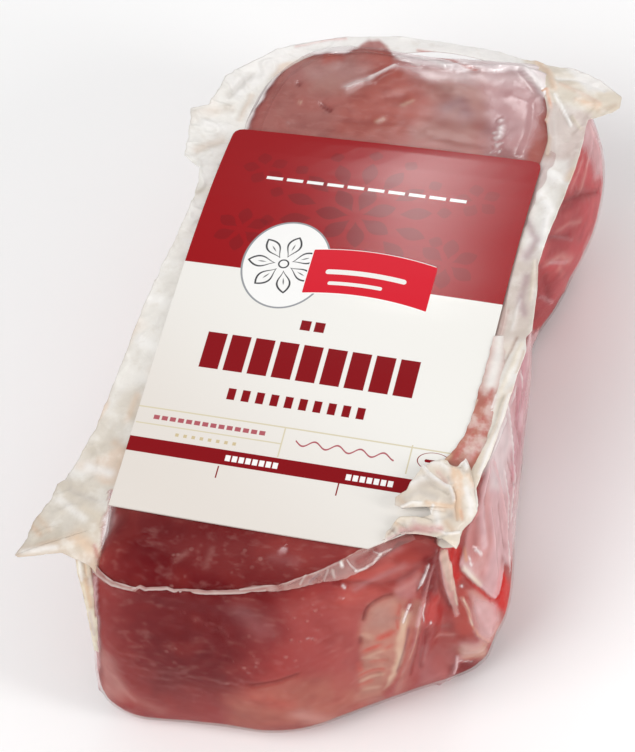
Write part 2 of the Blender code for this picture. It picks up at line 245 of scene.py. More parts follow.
# The pack's form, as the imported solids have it

form = dict(
    top=0.085, crownAcross=0.0005, crownAlong=0.0041, crownSwing=0.0027, crownTwist=0.0008,
    farDip=0.0013, farDipLeft=0.0008, nearDip=0.0012,
    halfWidth=0.050, halfLength=0.075,  # the label's
    topDepth=0.004, topEase=0.002,  # how near the top's level counts as on it
    corners=(  # plan at its widest: x, y, corner radius
        (-0.0580, -0.1030, 0.015), (0.0040, -0.1035, 0.040), (0.0610, -0.0660, 0.014),
        (0.0610, 0.1290, 0.024), (-0.0460, 0.1300, 0.034),
    ),
    arcSteps=12, planSteps=4000,
    planMiddle=(0.002, 0.012), spineX=0.002, spineFront=-0.050, spineBack=0.080,
    footRadius=0.013, footInset=0.0015, rimRadius=0.006, rimInset=0.0035,
    frontStart=-0.060, frontEase=0.025, frontRadius=0.006, frontLean=0.0030,
    slantStart=-0.005, slantEase=0.030, slantLean=-0.0030, slantRadius=-0.0045,
    belly=0.42, rippleSize=0.030, rippleHeight=0.0009, flatFoot=0.010,
    columns=672, rings=dict(base=3, foot=6, wall=80, rim=14, cap=44),
    capShown=0.45, capFine=0.85,  # how much of the cap shows past the label, and the share of its rings
    capPower=1.15,
    closeUp=(0.045, -0.085), closeReach=0.050,  # where the columns stand closest
    hiddenX=-0.040, hiddenXEase=0.012, hiddenFront=-0.080, hiddenBack=0.100, hiddenYEase=0.020,
    dense=0.80, denseClose=0.90, denseHidden=-0.45,  # more columns close up, fewer on the hidden side
    swellings=(  # place, reach, height outward
        ((0.062, 0.090, 0.038), (0.030, 0.024, 0.034), 0.0042),
        ((0.060, 0.042, 0.030), (0.030, 0.021, 0.044), -0.0165),
        ((0.060, 0.076, 0.004), (0.030, 0.036, 0.026), -0.0070),
        ((0.058, 0.012, 0.016), (0.030, 0.030, 0.030), -0.0050),
        ((0.061, -0.056, 0.034), (0.020, 0.020, 0.016), 0.0040),
        ((-0.056, -0.100, 0.010), (0.020, 0.024, 0.014), 0.0035),
        ((-0.056, 0.030, 0.040), (0.030, 0.030, 0.034), -0.0030),
        ((-0.052, 0.095, 0.034), (0.030, 0.024, 0.030), 0.0030),
        ((0.005, 0.128, 0.030), (0.026, 0.030, 0.030), -0.0030),
        ((-0.050, 0.084, 0.076), (0.030, 0.020, 0.030), 0.0045),
        ((-0.040, 0.118, 0.072), (0.018, 0.018, 0.028), 0.0035),
    ),
    footHollows=(  # place, reach, height outward
        ((0.060, 0.062), (0.030, 0.015), -0.0072), ((0.060, 0.036), (0.030, 0.018), -0.0027),
        ((0.060, -0.062), (0.024, 0.020), -0.0030), ((-0.054, -0.100), (0.026, 0.030), 0.0040),
    ),
    folds=(  # top end, foot end, half width, height outward
        ((0.0440, -0.0720, 0.074), (0.0330, -0.0870, 0.018), 0.0055, 0.0035),
        ((0.0560, -0.0620, 0.070), (0.0500, -0.0740, 0.024), 0.0070, -0.0060),
        ((-0.0560, -0.0930, 0.080), (-0.0565, -0.0920, 0.060), 0.0060, 0.0035),
        ((-0.0440, 0.1180, 0.062), (-0.0500, 0.1160, 0.020), 0.0060, -0.0030),
        ((0.0560, 0.1160, 0.060), (0.0580, 0.1100, 0.020), 0.0060, -0.0025),
    ),
)


def topHeight(x, y):
    across = x / form["halfWidth"]
    along = y / form["halfLength"]
    inside = np.clip(along, -1.0, 1.0)
    height = form["top"] - form["crownAcross"] * across**2 - form["crownAlong"] * inside**2
    height = height - form["crownSwing"] * (inside**3 - inside) + form["crownTwist"] * across * inside
    farDip = form["farDip"] - form["farDipLeft"] * np.clip(across, -1.25, 1.25)
    height = height - farDip * np.maximum(inside, 0) ** 3
    height = height - form["nearDip"] * np.maximum(1 - across**2, 0) * np.maximum(-inside, 0) ** 3
    slope = 2 * form["crownAlong"] * inside + form["crownSwing"] * (3 * inside**2 - 1)
    return height - slope * (along - inside)


def packOutline(count):  # the rounded plan, counterclockwise
    dense = []
    corners = form["corners"]
    for index, (x, y, radius) in enumerate(corners):
        corner = Vector((x, y))
        before = (Vector(corners[index - 1][:2]) - corner).normalized()
        after = (Vector(corners[(index + 1) % len(corners)][:2]) - corner).normalized()
        half = before.angle(after) / 2
        centre = corner + (before + after).normalized() * (radius / math.sin(half))
        spoke = corner + before * (radius / math.tan(half)) - centre
        for step in range(form["arcSteps"] + 1):
            angle = (math.pi - 2 * half) * step / form["arcSteps"]
            dense.append(centre + Matrix.Rotation(angle, 2) @ spoke)
    line = np.array(dense + dense[:1])
    lengths = np.linalg.norm(np.diff(line, axis=0), axis=1)
    passed = np.concatenate(([0.0], np.cumsum(lengths)))
    fine = np.linspace(0, passed[-1], form["planSteps"])
    dense = np.stack([np.interp(fine, passed, line[:, axis]) for axis in (0, 1)], 1)
    near = np.linalg.norm(dense - np.array(form["closeUp"]), axis=1) / form["closeReach"]
    hidden = ease((form["hiddenX"] - dense[:, 0]) / form["hiddenXEase"])
    hidden *= ease((dense[:, 1] - form["hiddenFront"]) / form["hiddenYEase"])
    hidden *= ease((form["hiddenBack"] - dense[:, 1]) / form["hiddenYEase"])
    weight = form["dense"] + form["denseClose"] * np.exp(-(near**2)) + form["denseHidden"] * hidden
    weight = np.cumsum(weight)
    goals = np.interp(weight[-1] * np.arange(count) / count, weight, fine)
    return np.stack([np.interp(goals, passed, line[:, axis]) for axis in (0, 1)], 1)


def spinePlaces(plan):
    y = np.clip(plan[:, 1], form["spineFront"], form["spineBack"])
    return np.stack((np.full(len(plan), form["spineX"]), y), 1)


def nearLine(places, start, end):  # distance from a straight piece of line
    start, end = np.array(start, float), np.array(end, float)
    along = end - start
    length = along @ along
    share = np.clip(((places - start) @ along) / length, 0, 1) if length > 0 else np.zeros(len(places))
    return np.linalg.norm(places - start - share[:, None] * along, axis=1)


def meatRelief(places):
    height = form["rippleHeight"] * grain(places, form["rippleSize"])
    for place, reach, rise in form["swellings"]:
        offset = (places - np.array(place)) / np.array(reach)
        height += rise * np.exp(-(offset**2).sum(1))
    for start, end, half, rise in form["folds"]:
        height += rise * np.exp(-((nearLine(places, start, end) / half) ** 2))
    foot = np.zeros(len(places))
    for place, reach, rise in form["footHollows"]:
        foot += rise * np.exp(-(((places[:, :2] - np.array(place)) / np.array(reach)) ** 2).sum(1))
    share = ease(places[:, 2] / form["flatFoot"])
    return height * share + foot * (1 - share)


def packRings(columns):  # rings of places from the middle of the foot to the middle of the top
    outline = packOutline(columns)
    inward = spinePlaces(outline) - outline
    inward /= np.linalg.norm(inward, axis=1)[:, None]
    front = ease((form["frontStart"] - outline[:, 1]) / form["frontEase"])
    slant = front * ease((outline[:, 0] - form["slantStart"]) / form["slantEase"])
    rimInset = form["rimInset"] + form["frontLean"] * front + form["slantLean"] * slant
    rimRadius = form["rimRadius"] + form["frontRadius"] * front + form["slantRadius"] * slant
    top = topHeight(outline[:, 0], outline[:, 1])
    footRadius, footInset, belly = form["footRadius"], form["footInset"], form["belly"]

    def wall(inset, height):
        plan = outline + inward * np.broadcast_to(inset, len(outline))[:, None]
        places = np.column_stack((plan, np.broadcast_to(height, len(outline))))
        rise = meatRelief(places)
        places[:, :2] -= inward * rise[:, None]
        return places

    steps = form["rings"]
    rings = []
    for step in range(steps["foot"] + 1):
        angle = math.pi / 2 * step / steps["foot"]
        inset = footInset + footRadius * (1 - math.sin(angle))
        rings.append(wall(inset, footRadius * (1 - math.cos(angle))))
    for step in range(1, steps["wall"]):
        share = step / steps["wall"]
        height = footRadius + (top - rimRadius - footRadius) * share
        if share < belly:
            inset = footInset * (1 - share / belly) ** 2
        else:
            inset = rimInset * ((share - belly) / (1 - belly)) ** 2
        rings.append(wall(inset, height))
    for step in range(steps["rim"] + 1):
        angle = math.pi / 2 * step / steps["rim"]
        inset = rimInset + rimRadius * (1 - math.cos(angle))
        rings.append(wall(inset, top - rimRadius * (1 - math.sin(angle))))
    heart = np.array(form["planMiddle"])
    base, cap = [], []
    for step in range(1, steps["base"] + 1):
        plan = heart + (rings[0][:, :2] - heart) * (1 - step / steps["base"])
        base.append(np.column_stack((plan, np.zeros(len(plan)))))
    for step in range(1, steps["cap"] + 1):
        share = step / steps["cap"] / form["capFine"]
        drawnIn = form["capShown"] * share ** form["capPower"]
        if share > 1:
            drawnIn = form["capShown"] + (1 - form["capShown"]) * (share - 1) / (1 / form["capFine"] - 1)
        plan = heart + (rings[-1][:, :2] - heart) * (1 - drawnIn)
        cap.append(np.column_stack((plan, topHeight(plan[:, 0], plan[:, 1]))))
    return np.array(base[::-1] + rings + cap)


def wrapPack(name):  # a sheet wrapped round the pack's form and closed
    rings = packRings(form["columns"])
    item, around, upward = flatSheet(name, form["columns"], len(rings) - 1)
    column = np.rint(around * form["columns"]).astype(int) % form["columns"]
    row = np.rint(upward * (len(rings) - 1)).astype(int)
    setPlaces(item, rings[row, column] + np.array(middle))
    closeSeams(item)
    return item


tongue = wrapPack("rawTongue")
packPlaces = readPlaces(tongue)
packNormals = readNormals(tongue)
if ((packPlaces - packPlaces.mean(0)) * packNormals).sum() < 0:
    packNormals = -packNormals
packFaces = [tuple(face.vertices) for face in tongue.data.polygons]
packTree = BVHTree.FromPolygons([tuple(place) for place in packPlaces], packFaces)
laidOut = packPlaces - np.array(middle)
packPicture = inPicture(packPlaces)

# How far round the sides the picture's patches reach, and further round at the waist on the right
seen = dict(start=-0.12, soft=0.10, waistStart=-0.42, waistSoft=0.36, waistX=0.030, waistXEase=0.015)
towards = np.array(cameraPlace) - packPlaces
upright = (packNormals * towards).sum(1) / np.linalg.norm(towards, axis=1)
facing = ease((upright - seen["start"]) / seen["soft"])
facingWaist = ease((upright - seen["waistStart"]) / seen["waistSoft"])
facingWaist *= ease((laidOut[:, 0] - seen["waistX"]) / seen["waistXEase"])
facingWaist = np.maximum(facing, facingWaist)
print("pack form wrapped,", len(packFaces), "faces")


def spotOnPack(across, down):  # the place on the pack that shows at a place in the picture
    ray = sightLine(across, down)
    place = packTree.ray_cast(cameraPlace, ray)[0]
    if place is None:  # just past the outline: the place of the pack nearest the sight line
        start, step = 0.85, 0.006
        for _ in range(3):
            tries = [packTree.find_nearest(cameraPlace + ray * (start + step * k)) for k in range(75)]
            best = min(range(75), key=lambda k: tries[k][3])
            place = tries[best][0]
            start, step = start + step * (best - 2), step / 15
    return np.array(place)


def nearPath(places, path):  # distance from a path of places in the picture, laid on the pack
    spots = [spotOnPack(*spot) for spot in path]
    if len(spots) == 1:
        return np.linalg.norm(places - spots[0], axis=1)
    return np.min([nearLine(places, a, b) for a, b in zip(spots, spots[1:])], axis=0)


# Meat

meat = dict(
    side=tone(174, 84, 80), deep=tone(100, 10, 18), flesh=tone(164, 62, 60), low=tone(182, 106, 92),
    topPink=tone(176, 112, 105), topGrey=tone(186, 142, 132), topRed=tone(182, 90, 78),
    mauve=tone(192, 142, 142), lobe=tone(196, 84, 88),
    wine=tone(112, 16, 22), juice=tone(206, 38, 32), coral=tone(202, 88, 76),
    fat=tone(204, 152, 134), cream=tone(222, 190, 166), pale=tone(222, 172, 162), bruise=tone(146, 98, 104),
    inset=0.7 * mm,  # how far the meat lies under the film
    dents=0.25 * mm, highest=0.9 * mm,
    broadSize=0.022, patchSize=0.009, fineSize=0.0032,
    wander=(5, 3, 1.5), grainy=0.18, uneven=0.25,  # how far edges wander, in pixels, and what varies
    hiddenSize=0.028, hiddenStretch=(1.0, 1.0, 1.5),
    hiddenClouds=(("deep", 0.0, 0.4, 0.60), ("low", 0.02, -0.4, 0.55)),  # tint, start, softness, strength
    strandSize=0.014, strandStretch=(0.7, 0.7, 1.3), strandHalf=0.07, strandGaps=0.020, strandStrength=0.45,
    clouds=(("coral", -0.05, 0.5, 0.10), ("wine", 0.05, -0.5, 0.16)),
    mottleScale=160, mottleStrength=0.28, fibreScale=420, fibreStretch=(0.6, 1.0, 1.0), fibreStrength=0.14,
    speckScale=330, clusterScale=70, speckStrength=0.26, bump=0.5, bumpHeight=0.6 * mm,
    papillae=((160, 540), (300, 540), (345, 600), (300, 690), (200, 690), (120, 640)),  # where they show
    roughness=0.55, shine=0.12,
)

# Broad tones: outline in the picture, softness in pixels, colour, strength
meatTones = (
    # front
    ([(100, 545), (70, 600), (90, 740), (330, 740), (345, 600), (360, 548), (230, 520)], 30, "flesh", 0.9),
    ([(108, 512), (102, 560), (118, 600), (126, 655), (150, 700), (228, 700), (262, 650), (290, 612),
      (330, 560), (230, 520)], 70, "deep", 0.77),
    ([(130, 505), (140, 600), (165, 680), (215, 680), (240, 610), (250, 560), (225, 520)], 60, "deep", 0.46),
    ([(120, 505), (104, 520), (104, 576), (240, 590), (310, 572), (320, 540), (200, 520)], 30, "deep", 0.12),
    ([(120, 506), (112, 536), (150, 560), (185, 550), (190, 520)], 24, "deep", 0.6),
    ([(228, 700), (262, 688), (345, 672), (372, 700), (330, 730), (230, 732)], 26, "low", 0.9),
    ([(90, 640), (112, 660), (124, 700), (100, 700)], 16, "pale", 0.4),
    ([(280, 600), (340, 590), (346, 640), (330, 680), (296, 670)], 26, "side", 0.45),
    ([(345, 560), (410, 545), (432, 556), (420, 600), (392, 596), (362, 612), (342, 640),
      (336, 600)], 20, "coral", 0.25),
    ([(340, 600), (362, 612), (358, 690), (336, 700), (330, 640)], 16, "side", 0.55),
    ([(392, 592), (416, 574), (422, 580), (412, 600), (396, 602)], 9, "mauve", 0.4),
    ([(150, 535), (320, 545), (352, 560), (310, 580), (200, 574)], 26, "side", 0.22),
    ([(98, 600), (140, 600), (150, 680), (108, 690)], 26, "deep", 0.16),
    # fat at the slant's end, in soft strips
    ([(370, 606), (392, 598), (406, 602), (400, 634), (392, 662), (380, 698), (356, 700), (357, 664),
      (361, 628)], 12, "fat", 0.76),
    ([(376, 610), (392, 604), (398, 622), (384, 632), (366, 630)], 12, "topGrey", 0.6),
    ([(404, 612), (412, 616), (407, 640), (401, 660), (394, 678), (384, 692), (391, 664),
      (397, 640)], 7, "cream", 0.9),
    ([(414, 602), (424, 604), (419, 650), (410, 686), (396, 692), (405, 660)], 8, "fat", 0.6),
    # corner under the ear
    ([(424, 560), (438, 556), (444, 598), (434, 606), (422, 600)], 9, "wine", 0.62),
    ([(434, 596), (444, 598), (452, 616), (440, 630), (429, 624)], 9, "juice", 0.58),
    ([(413, 630), (438, 630), (442, 668), (422, 690), (402, 690)], 13, "flesh", 0.7),
    ([(424, 650), (454, 645), (456, 664), (442, 688), (416, 690)], 12, "mauve", 0.38),
    ([(446, 550), (463, 550), (462, 566), (467, 578), (458, 592), (452, 572)], 7, "juice", 0.85),
    ([(456, 592), (472, 592), (474, 634), (456, 642)], 12, "coral", 0.6),
    ([(472, 594), (500, 592), (500, 636), (478, 642)], 10, "pale", 0.75),
    ([(459, 645), (484, 643), (488, 654), (460, 659)], 7, "cream", 0.6),
    ([(446, 665), (484, 661), (497, 644), (504, 648), (486, 678), (450, 692)], 7, "wine", 0.68),
    ([(498, 590), (505, 570), (516, 586), (509, 612), (498, 608)], 5, "juice", 0.92),
    # far top: greyed pink, redder in the middle, mauve to the right
    ([(240, 135), (275, 64), (300, 40), (372, 34), (400, 60), (530, 64), (552, 110), (540, 165),
      (400, 150)], 14, "topPink", 0.95),
    ([(300, 62), (352, 60), (374, 70), (352, 96), (312, 88)], 16, "topGrey", 0.55),
    ([(336, 128), (346, 96), (364, 84), (376, 40), (392, 58), (414, 74), (438, 104), (424, 128), (400, 134),
      (360, 134)], 36, "topRed", 0.74),
    ([(322, 51), (342, 51), (343, 61), (324, 61)], 6, "topRed", 0.8),
    ([(422, 68), (486, 72), (490, 104), (456, 114), (436, 94)], 32, "topGrey", 0.68),
    ([(410, 124), (470, 122), (476, 146), (420, 140)], 18, "topGrey", 0.35),
    ([(486, 160), (488, 74), (528, 70), (540, 104), (530, 165)], 18, "mauve", 0.6),
    ([(486, 100), (506, 90), (520, 120), (512, 158), (484, 156)], 16, "bruise", 0.3),
    ([(524, 160), (534, 118), (540, 92), (552, 100), (552, 128), (538, 164)], 9, "topRed", 0.75),
    # lobe on the right
    ([(560, 120), (600, 118), (612, 210), (560, 320), (530, 330), (540, 240)], 14, "lobe", 0.95),
    ([(554, 190), (592, 184), (580, 240), (548, 262), (546, 226)], 16, "wine", 0.35),
    ([(536, 264), (560, 272), (552, 312), (532, 326)], 10, "wine", 0.35),
)

# Marks: path in the picture, half width mm, height mm, colour, strength
meatMarks = (
    # far end: pits, pale dots, a bruise and grain
    ([(299, 83)], 1, -0.5, "wine", 0.8), ([(322, 104), (330, 109)], 0.8, -0.6, "wine", 0.85),
    ([(300, 101)], 0.7, 0.2, "cream", 0.8), ([(376, 120), (383, 118)], 0.7, 0.2, "cream", 0.6),
    ([(402, 104), (412, 100)], 0.8, 0.2, "cream", 0.55), ([(405, 103), (410, 102)], 0.3, -0.2, "wine", 0.5),
    ([(448, 106), (460, 100), (466, 112)], 3.2, 0, "bruise", 0.7),
    ([(430, 136), (482, 146)], 1.2, -0.2, "wine", 0.2), ([(290, 124), (340, 130)], 1.2, -0.2, "wine", 0.18),
    ([(262, 104), (252, 126)], 3, 0, "side", 0.4), ([(340, 118), (410, 124)], 1.4, -0.1, "wine", 0.18),
    ([(352, 110), (430, 117)], 0.8, -0.1, "wine", 0.12), ([(346, 120), (366, 124)], 2.4, -0.2, "wine", 0.2),
    ([(376, 46), (392, 62), (398, 74)], 1.4, -0.2, "topRed", 0.6),
    # front: a short crease with painted shade in it, the paler swelling under it, faint veins
    ([(250, 688), (274, 684), (297, 677)], 0.7, -0.7, "wine", 0.65),
    ([(112, 676), (134, 702)], 0.8, 0.2, "pale", 0.3), ([(120, 690), (160, 712)], 3, 0, "pale", 0.2),
    ([(256, 700), (282, 706)], 4, 0.3, "coral", 0.4), ([(300, 716), (328, 722)], 3, 0.3, "pale", 0.45),
    ([(176, 560), (186, 552)], 0.9, 0.2, "pale", 0.16), ([(206, 566), (212, 548)], 0.9, 0.2, "pale", 0.14),
    ([(240, 612), (262, 632)], 4, 0, "mauve", 0.2), ([(200, 592), (240, 594)], 2, -0.2, "deep", 0.5),
    # slanted front: soft streaks running to the corner
    ([(336, 583), (360, 585), (382, 588), (398, 584), (414, 573), (427, 560)], 1.3, -0.7, "wine", 0.5),
    ([(352, 566), (376, 556), (398, 548)], 1.4, 0.2, "mauve", 0.45),
    ([(356, 590), (380, 578), (404, 566)], 1.2, 0.2, "mauve", 0.45),
    ([(366, 570), (392, 560), (414, 548)], 0.9, -0.2, "wine", 0.35),
    ([(350, 575), (384, 567), (410, 556)], 2.2, 0.4, "coral", 0.4),
    ([(342, 604), (364, 594), (384, 590)], 2.4, 0.3, "coral", 0.25),
    ([(396, 562), (424, 549)], 1.6, -0.3, "wine", 0.35), ([(412, 566), (426, 560)], 1.4, -0.3, "wine", 0.3),
    ([(398, 592), (412, 584), (420, 576)], 1, 0.3, "pale", 0.3),
    # reddish streaks in the fat, and its edge
    ([(379, 640), (392, 634)], 1.1, -0.4, "coral", 0.75),
    ([(381, 641), (390, 637)], 0.5, -0.2, "juice", 0.45),
    ([(366, 653), (380, 647)], 0.9, -0.3, "coral", 0.75),
    ([(369, 653), (378, 649)], 0.4, -0.2, "juice", 0.45), ([(383, 652), (391, 647)], 0.5, -0.2, "coral", 0.6),
    ([(397, 622), (398, 631)], 0.6, -0.2, "coral", 0.6), ([(361, 640), (361, 645)], 0.8, -0.4, "wine", 0.55),
    ([(359, 666), (361, 672)], 1, -0.3, "coral", 0.7),
    ([(361, 678), (371, 673), (383, 671)], 0.6, -0.3, "coral", 0.75),
    ([(379, 675), (381, 676)], 0.5, -0.3, "wine", 0.5), ([(360, 688), (371, 683)], 0.7, -0.2, "coral", 0.65),
    ([(372, 664), (386, 662)], 0.6, -0.2, "coral", 0.4),
    ([(362, 683), (372, 678), (383, 676)], 0.5, 0.2, "cream", 0.6),
    ([(370, 658), (384, 652)], 0.6, 0.2, "cream", 0.5), ([(364, 660), (378, 660)], 0.6, 0.1, "cream", 0.35),
    ([(366, 691), (378, 689)], 0.6, 0.1, "cream", 0.4), ([(364, 636), (374, 640)], 0.8, 0.1, "cream", 0.3),
    ([(364, 622), (366, 614), (369, 609), (376, 603), (384, 599), (392, 597)], 0.6, -0.6, "wine", 0.7),
    ([(357, 644), (356, 668), (358, 694)], 1, -0.2, "side", 0.5),
    ([(409, 630), (406, 645), (402, 660), (397, 674)], 0.35, -0.5, "bruise", 0.6),
    ([(421, 622), (416, 645), (411, 660)], 0.3, 0.3, "cream", 0.55),
    ([(400, 606), (398, 616)], 0.7, -0.3, "coral", 0.5),
    ([(412, 676), (416, 660), (420, 640)], 0.6, -0.5, "wine", 0.3),
    # deep valley at the corner with painted shade in it, in the pleat line beside it and left of the hanging
    # flap, and the wet red round the ear
    ([(436, 552), (434, 572), (431, 594)], 1.8, -1.6, "wine", 0.6),
    # painted shadow to the left of the hanging flap
    ([(439, 570), (444, 594), (452, 610)], 0.8, -0.6, "wine", 0.55),
    ([(431, 560), (425, 576), (417, 593)], 0.45, -0.7, "wine", 0.7),
    ([(441, 604), (446, 616)], 2, -0.4, "wine", 0.3), ([(428, 632), (423, 668)], 1.2, -0.8, "wine", 0.35),
    ([(438, 637), (453, 637)], 0.8, 0.3, "pale", 0.5),
    ([(463, 573), (476, 587), (493, 602)], 0.8, -0.8, "juice", 0.95),
    ([(493, 602), (499, 596), (504, 570)], 0.9, -0.8, "juice", 0.95),
    ([(500, 606), (507, 596)], 2.4, -0.4, "juice", 0.9), ([(497, 612), (494, 634)], 0.8, -0.4, "juice", 0.35),
    # lower right: a lump, and painted shade in a hollow under it
    ([(466, 650), (480, 649)], 2.6, 0.9, "cream", 0.4), ([(462, 668), (482, 662)], 1.6, -0.8, "wine", 0.45),
    ([(446, 628), (458, 640)], 1.6, -0.4, "wine", 0.25), ([(440, 652), (448, 676)], 4, 0.5, "coral", 0.2),
    # left flank, beside the ear
    ([(95, 545), (97, 558)], 1.4, -0.4, "juice", 0.75),
    # lobe: creases with painted shade in them, and strands
    ([(566, 203), (582, 196), (600, 192)], 1.1, -0.8, "wine", 0.65),
    ([(556, 214), (575, 206)], 1, -0.6, "wine", 0.5), ([(550, 240), (570, 237)], 1, -0.5, "wine", 0.45),
    ([(582, 190), (590, 155)], 1.2, 0.5, "pale", 0.4), ([(572, 190), (584, 160)], 0.9, 0.4, "pale", 0.3),
    ([(564, 184), (578, 150)], 0.8, 0.4, "coral", 0.35),
    ([(558, 232), (570, 224), (582, 222)], 0.8, 0.3, "pale", 0.35),
    ([(548, 264), (562, 256), (572, 262)], 1.6, 0.3, "pale", 0.45),
    ([(560, 268), (566, 292)], 1.2, 0.3, "pale", 0.45), ([(545, 278), (550, 300)], 1.2, -0.4, "wine", 0.35),
)


def paintMeat():
    patch = grain(laidOut, meat["patchSize"], 2)
    broad = grain(laidOut, meat["broadSize"], 1)
    fine = grain(laidOut, meat["fineSize"], 3)
    paint = np.tile(np.array(meat["side"]), (len(laidOut), 1))
    wide, close, least = meat["wander"]
    wander = (wide * broad + close * patch + least * fine, wide * broad - close * patch + least * fine)
    wandering = packPicture + np.column_stack(wander)
    grainy = 1 + meat["grainy"] * np.clip(fine, -1, 0.5)
    for corners, soft, colour, strength in meatTones:
        share = inPatch(wandering, corners, soft) * facing
        paint = mixed(paint, meat[colour], share * strength * grainy)
    hidden = 1 - facing
    blotch = grain(laidOut * np.array(meat["hiddenStretch"]), meat["hiddenSize"], 51)
    strands = grain(laidOut * np.array(meat["strandStretch"]), meat["strandSize"], 52) / meat["strandHalf"]
    strands = np.exp(-(strands**2)) * ease((grain(laidOut, meat["strandGaps"], 53) - 0.05) / 0.3)
    for colour, start, soft, strength in meat["hiddenClouds"]:
        paint = mixed(paint, meat[colour], hidden * ease((blotch + start) / soft) * strength)
    paint = mixed(paint, meat["pale"], hidden * strands * meat["strandStrength"])
    for colour, start, soft, strength in meat["clouds"]:
        paint = mixed(paint, meat[colour], ease((patch + start) / soft) * strength)
    height = meat["dents"] * patch
    for path, half, rise, colour, strength in meatMarks:
        near = nearPath(packPlaces, path) * (1 + meat["uneven"] * patch)
        soft = np.exp(-((near / (half * mm)) ** 2))
        paint = mixed(paint, meat[colour], soft * strength)
        height += rise * mm * soft
    return paint, height


def underLabel(margin):  # 1 under the label, falling to 0 past its edge
    x, y = np.abs(laidOut[:, 0]), np.abs(laidOut[:, 1])
    under = topHeight(laidOut[:, 0], laidOut[:, 1]) - laidOut[:, 2]
    onTop = ease((form["topDepth"] - under) / form["topEase"])
    past = np.maximum(x - form["halfWidth"], y - form["halfLength"])
    return ease(1 - past / margin) * onTop


print("painting the meat")
meatPaint, meatHeight = paintMeat()
meatHeight *= 1 - underLabel(2 * mm)
meatDepth = np.minimum(meatHeight, meat["highest"]) - meat["inset"]
setPlaces(tongue, packPlaces + packNormals * meatDepth[:, None])
setPaint(tongue, "meatPaint", meatPaint)
specked = inPatch(packPicture, meat["papillae"], 60)
setMask(tongue, "papillae", specked * facing)


# Film drawn over the meat

film = dict(
    offset=0.05 * mm,
    contactAlpha=0.20, hazeAlpha=0.92,  # where it touches the meat, and where it stands off
    milk=tone(226, 184, 186), white=tone(240, 232, 231), cream=tone(228, 212, 192), tan=tone(222, 160, 132),
    rose=tone(216, 146, 142), mauve=tone(214, 150, 160), blush=tone(236, 218, 219),
    brown=tone(186, 104, 94), shadow=tone(120, 98, 108), flap=tone(216, 166, 158), flapTop=tone(216, 188, 170),
    crinkle=0.12 * mm, crinkleSize=0.005, mottleSize=0.0035,
    broadSize=0.014, mottle=0.22, wander=2.5, wanderSize=0.006, uneven=0.2,
    touchShade=0.9, tintEase=0.30,
    footHaze=0.006, footEase=0.040, footWave=0.014, footWaveSize=0.016, topEase=0.004,  # hidden walls
    cloudSize=0.024, cloudStretch=(1.0, 1.0, 0.7), cloudStart=-0.22, cloudSoft=0.55, cloudVaries=0.25,
    rightX=0.046, rightEase=0.010, rightHaze=0.46,
    leftX=-0.040, leftEase=0.012, leftFront=-0.105, leftFrontEase=0.050, leftHaze=0.42,
    farY=0.108, farEase=0.018, farHaze=0.42,
    pleatSize=0.006, pleatStretch=(1.0, 1.0, 0.22), pleatHalf=0.08, pleatHeight=0.5 * mm, pleatHaze=0.30,
    look={
        "Stretch": (1.0, 0.25, 0.5), "Scale": 150, "Full": 0.75, "Strength": 0.4,
        "Thinnest": 0.90, "Thickest": 1.10,
        "Crinkle Stretch": (1.0, 0.5, 0.7), "Crinkle Scale": 300, "Crinkle Detail": 3,
    },
    bump=0.35, bumpHeight=0.5 * mm,
    sinks=0.6, clearance=0.3 * mm,  # how far it follows the meat's hollows, and its least gap over the meat
    roughness=0.15, ior=1.50,
)

# Milky places: outline in the picture, softness in pixels, haze, tint
filmPatches = (
    # right wall, with the flap that ends in a point
    ([(478, 500), (506, 400), (530, 330), (540, 330), (530, 420), (520, 520), (508, 566), (503, 557),
      (499, 590), (495, 598), (490, 594), (478, 584), (468, 575), (461, 566), (462, 552),
      (468, 530)], 5, 0.66, "milk"),
    ([(516, 396), (522, 352), (528, 352), (528, 420), (518, 470), (508, 500), (512, 440)], 8, 0.62, "mauve"),
    ([(494, 430), (508, 396), (512, 440), (504, 490), (490, 490)], 12, 0.66, "blush"),
    ([(462, 545), (474, 500), (486, 480), (492, 540), (484, 580), (470, 572)], 16, 0.16, "rose"),
    ([(472, 596), (496, 604), (500, 620), (490, 640), (476, 634)], 12, 0.4, "milk"),
    ([(458, 642), (480, 640), (488, 652), (462, 658)], 12, 0.25, "milk"),
    # slanted corner
    ([(352, 560), (400, 545), (430, 548), (424, 566), (380, 580)], 14, 0.12, "rose"),
    ([(396, 578), (420, 570), (416, 598), (398, 596)], 8, 0.16, "rose"),
    # narrow flap that hangs from the ear
    ([(440, 548), (447, 549), (450, 566), (453, 584), (457, 603), (459, 614), (456, 617), (451, 605),
      (446, 592), (442, 574)], 2.5, 0.72, "flap"),
    ([(441, 549), (446, 550), (448, 566), (450, 580), (447, 582), (443, 570)], 3, 0.7, "flapTop"),
    # left flank, beside the fold
    ([(93, 574), (98, 576), (100, 690), (94, 690)], 4, 0.45, "milk"),
    # far end: along the rim
    ([(234, 122), (255, 62), (300, 32), (372, 28), (372, 39), (361, 44), (346, 53), (325, 52), (300, 57),
      (289, 63), (282, 70), (270, 88), (256, 110), (246, 130), (240, 136)], 4, 0.9, "white"),
    ([(374, 28), (560, 46), (560, 84), (547, 100), (533, 82), (521, 71), (500, 71), (470, 72), (452, 70),
      (423, 65), (407, 61), (394, 55), (386, 47), (377, 40)], 4, 0.8, "blush"),
    ([(284, 64), (350, 58), (374, 64), (368, 78), (330, 84), (286, 82)], 20, 0.14, "milk"),
    ([(396, 66), (470, 70), (524, 70), (545, 98), (540, 112), (520, 98), (486, 86),
      (430, 80)], 18, 0.44, "blush"),
    ([(476, 80), (536, 84), (540, 130), (524, 158), (496, 140)], 26, 0.3, "milk"),
    # top of the lobe
    ([(574, 110), (606, 118), (608, 170), (596, 180), (588, 150), (572, 138)], 14, 0.5, "milk"),
)

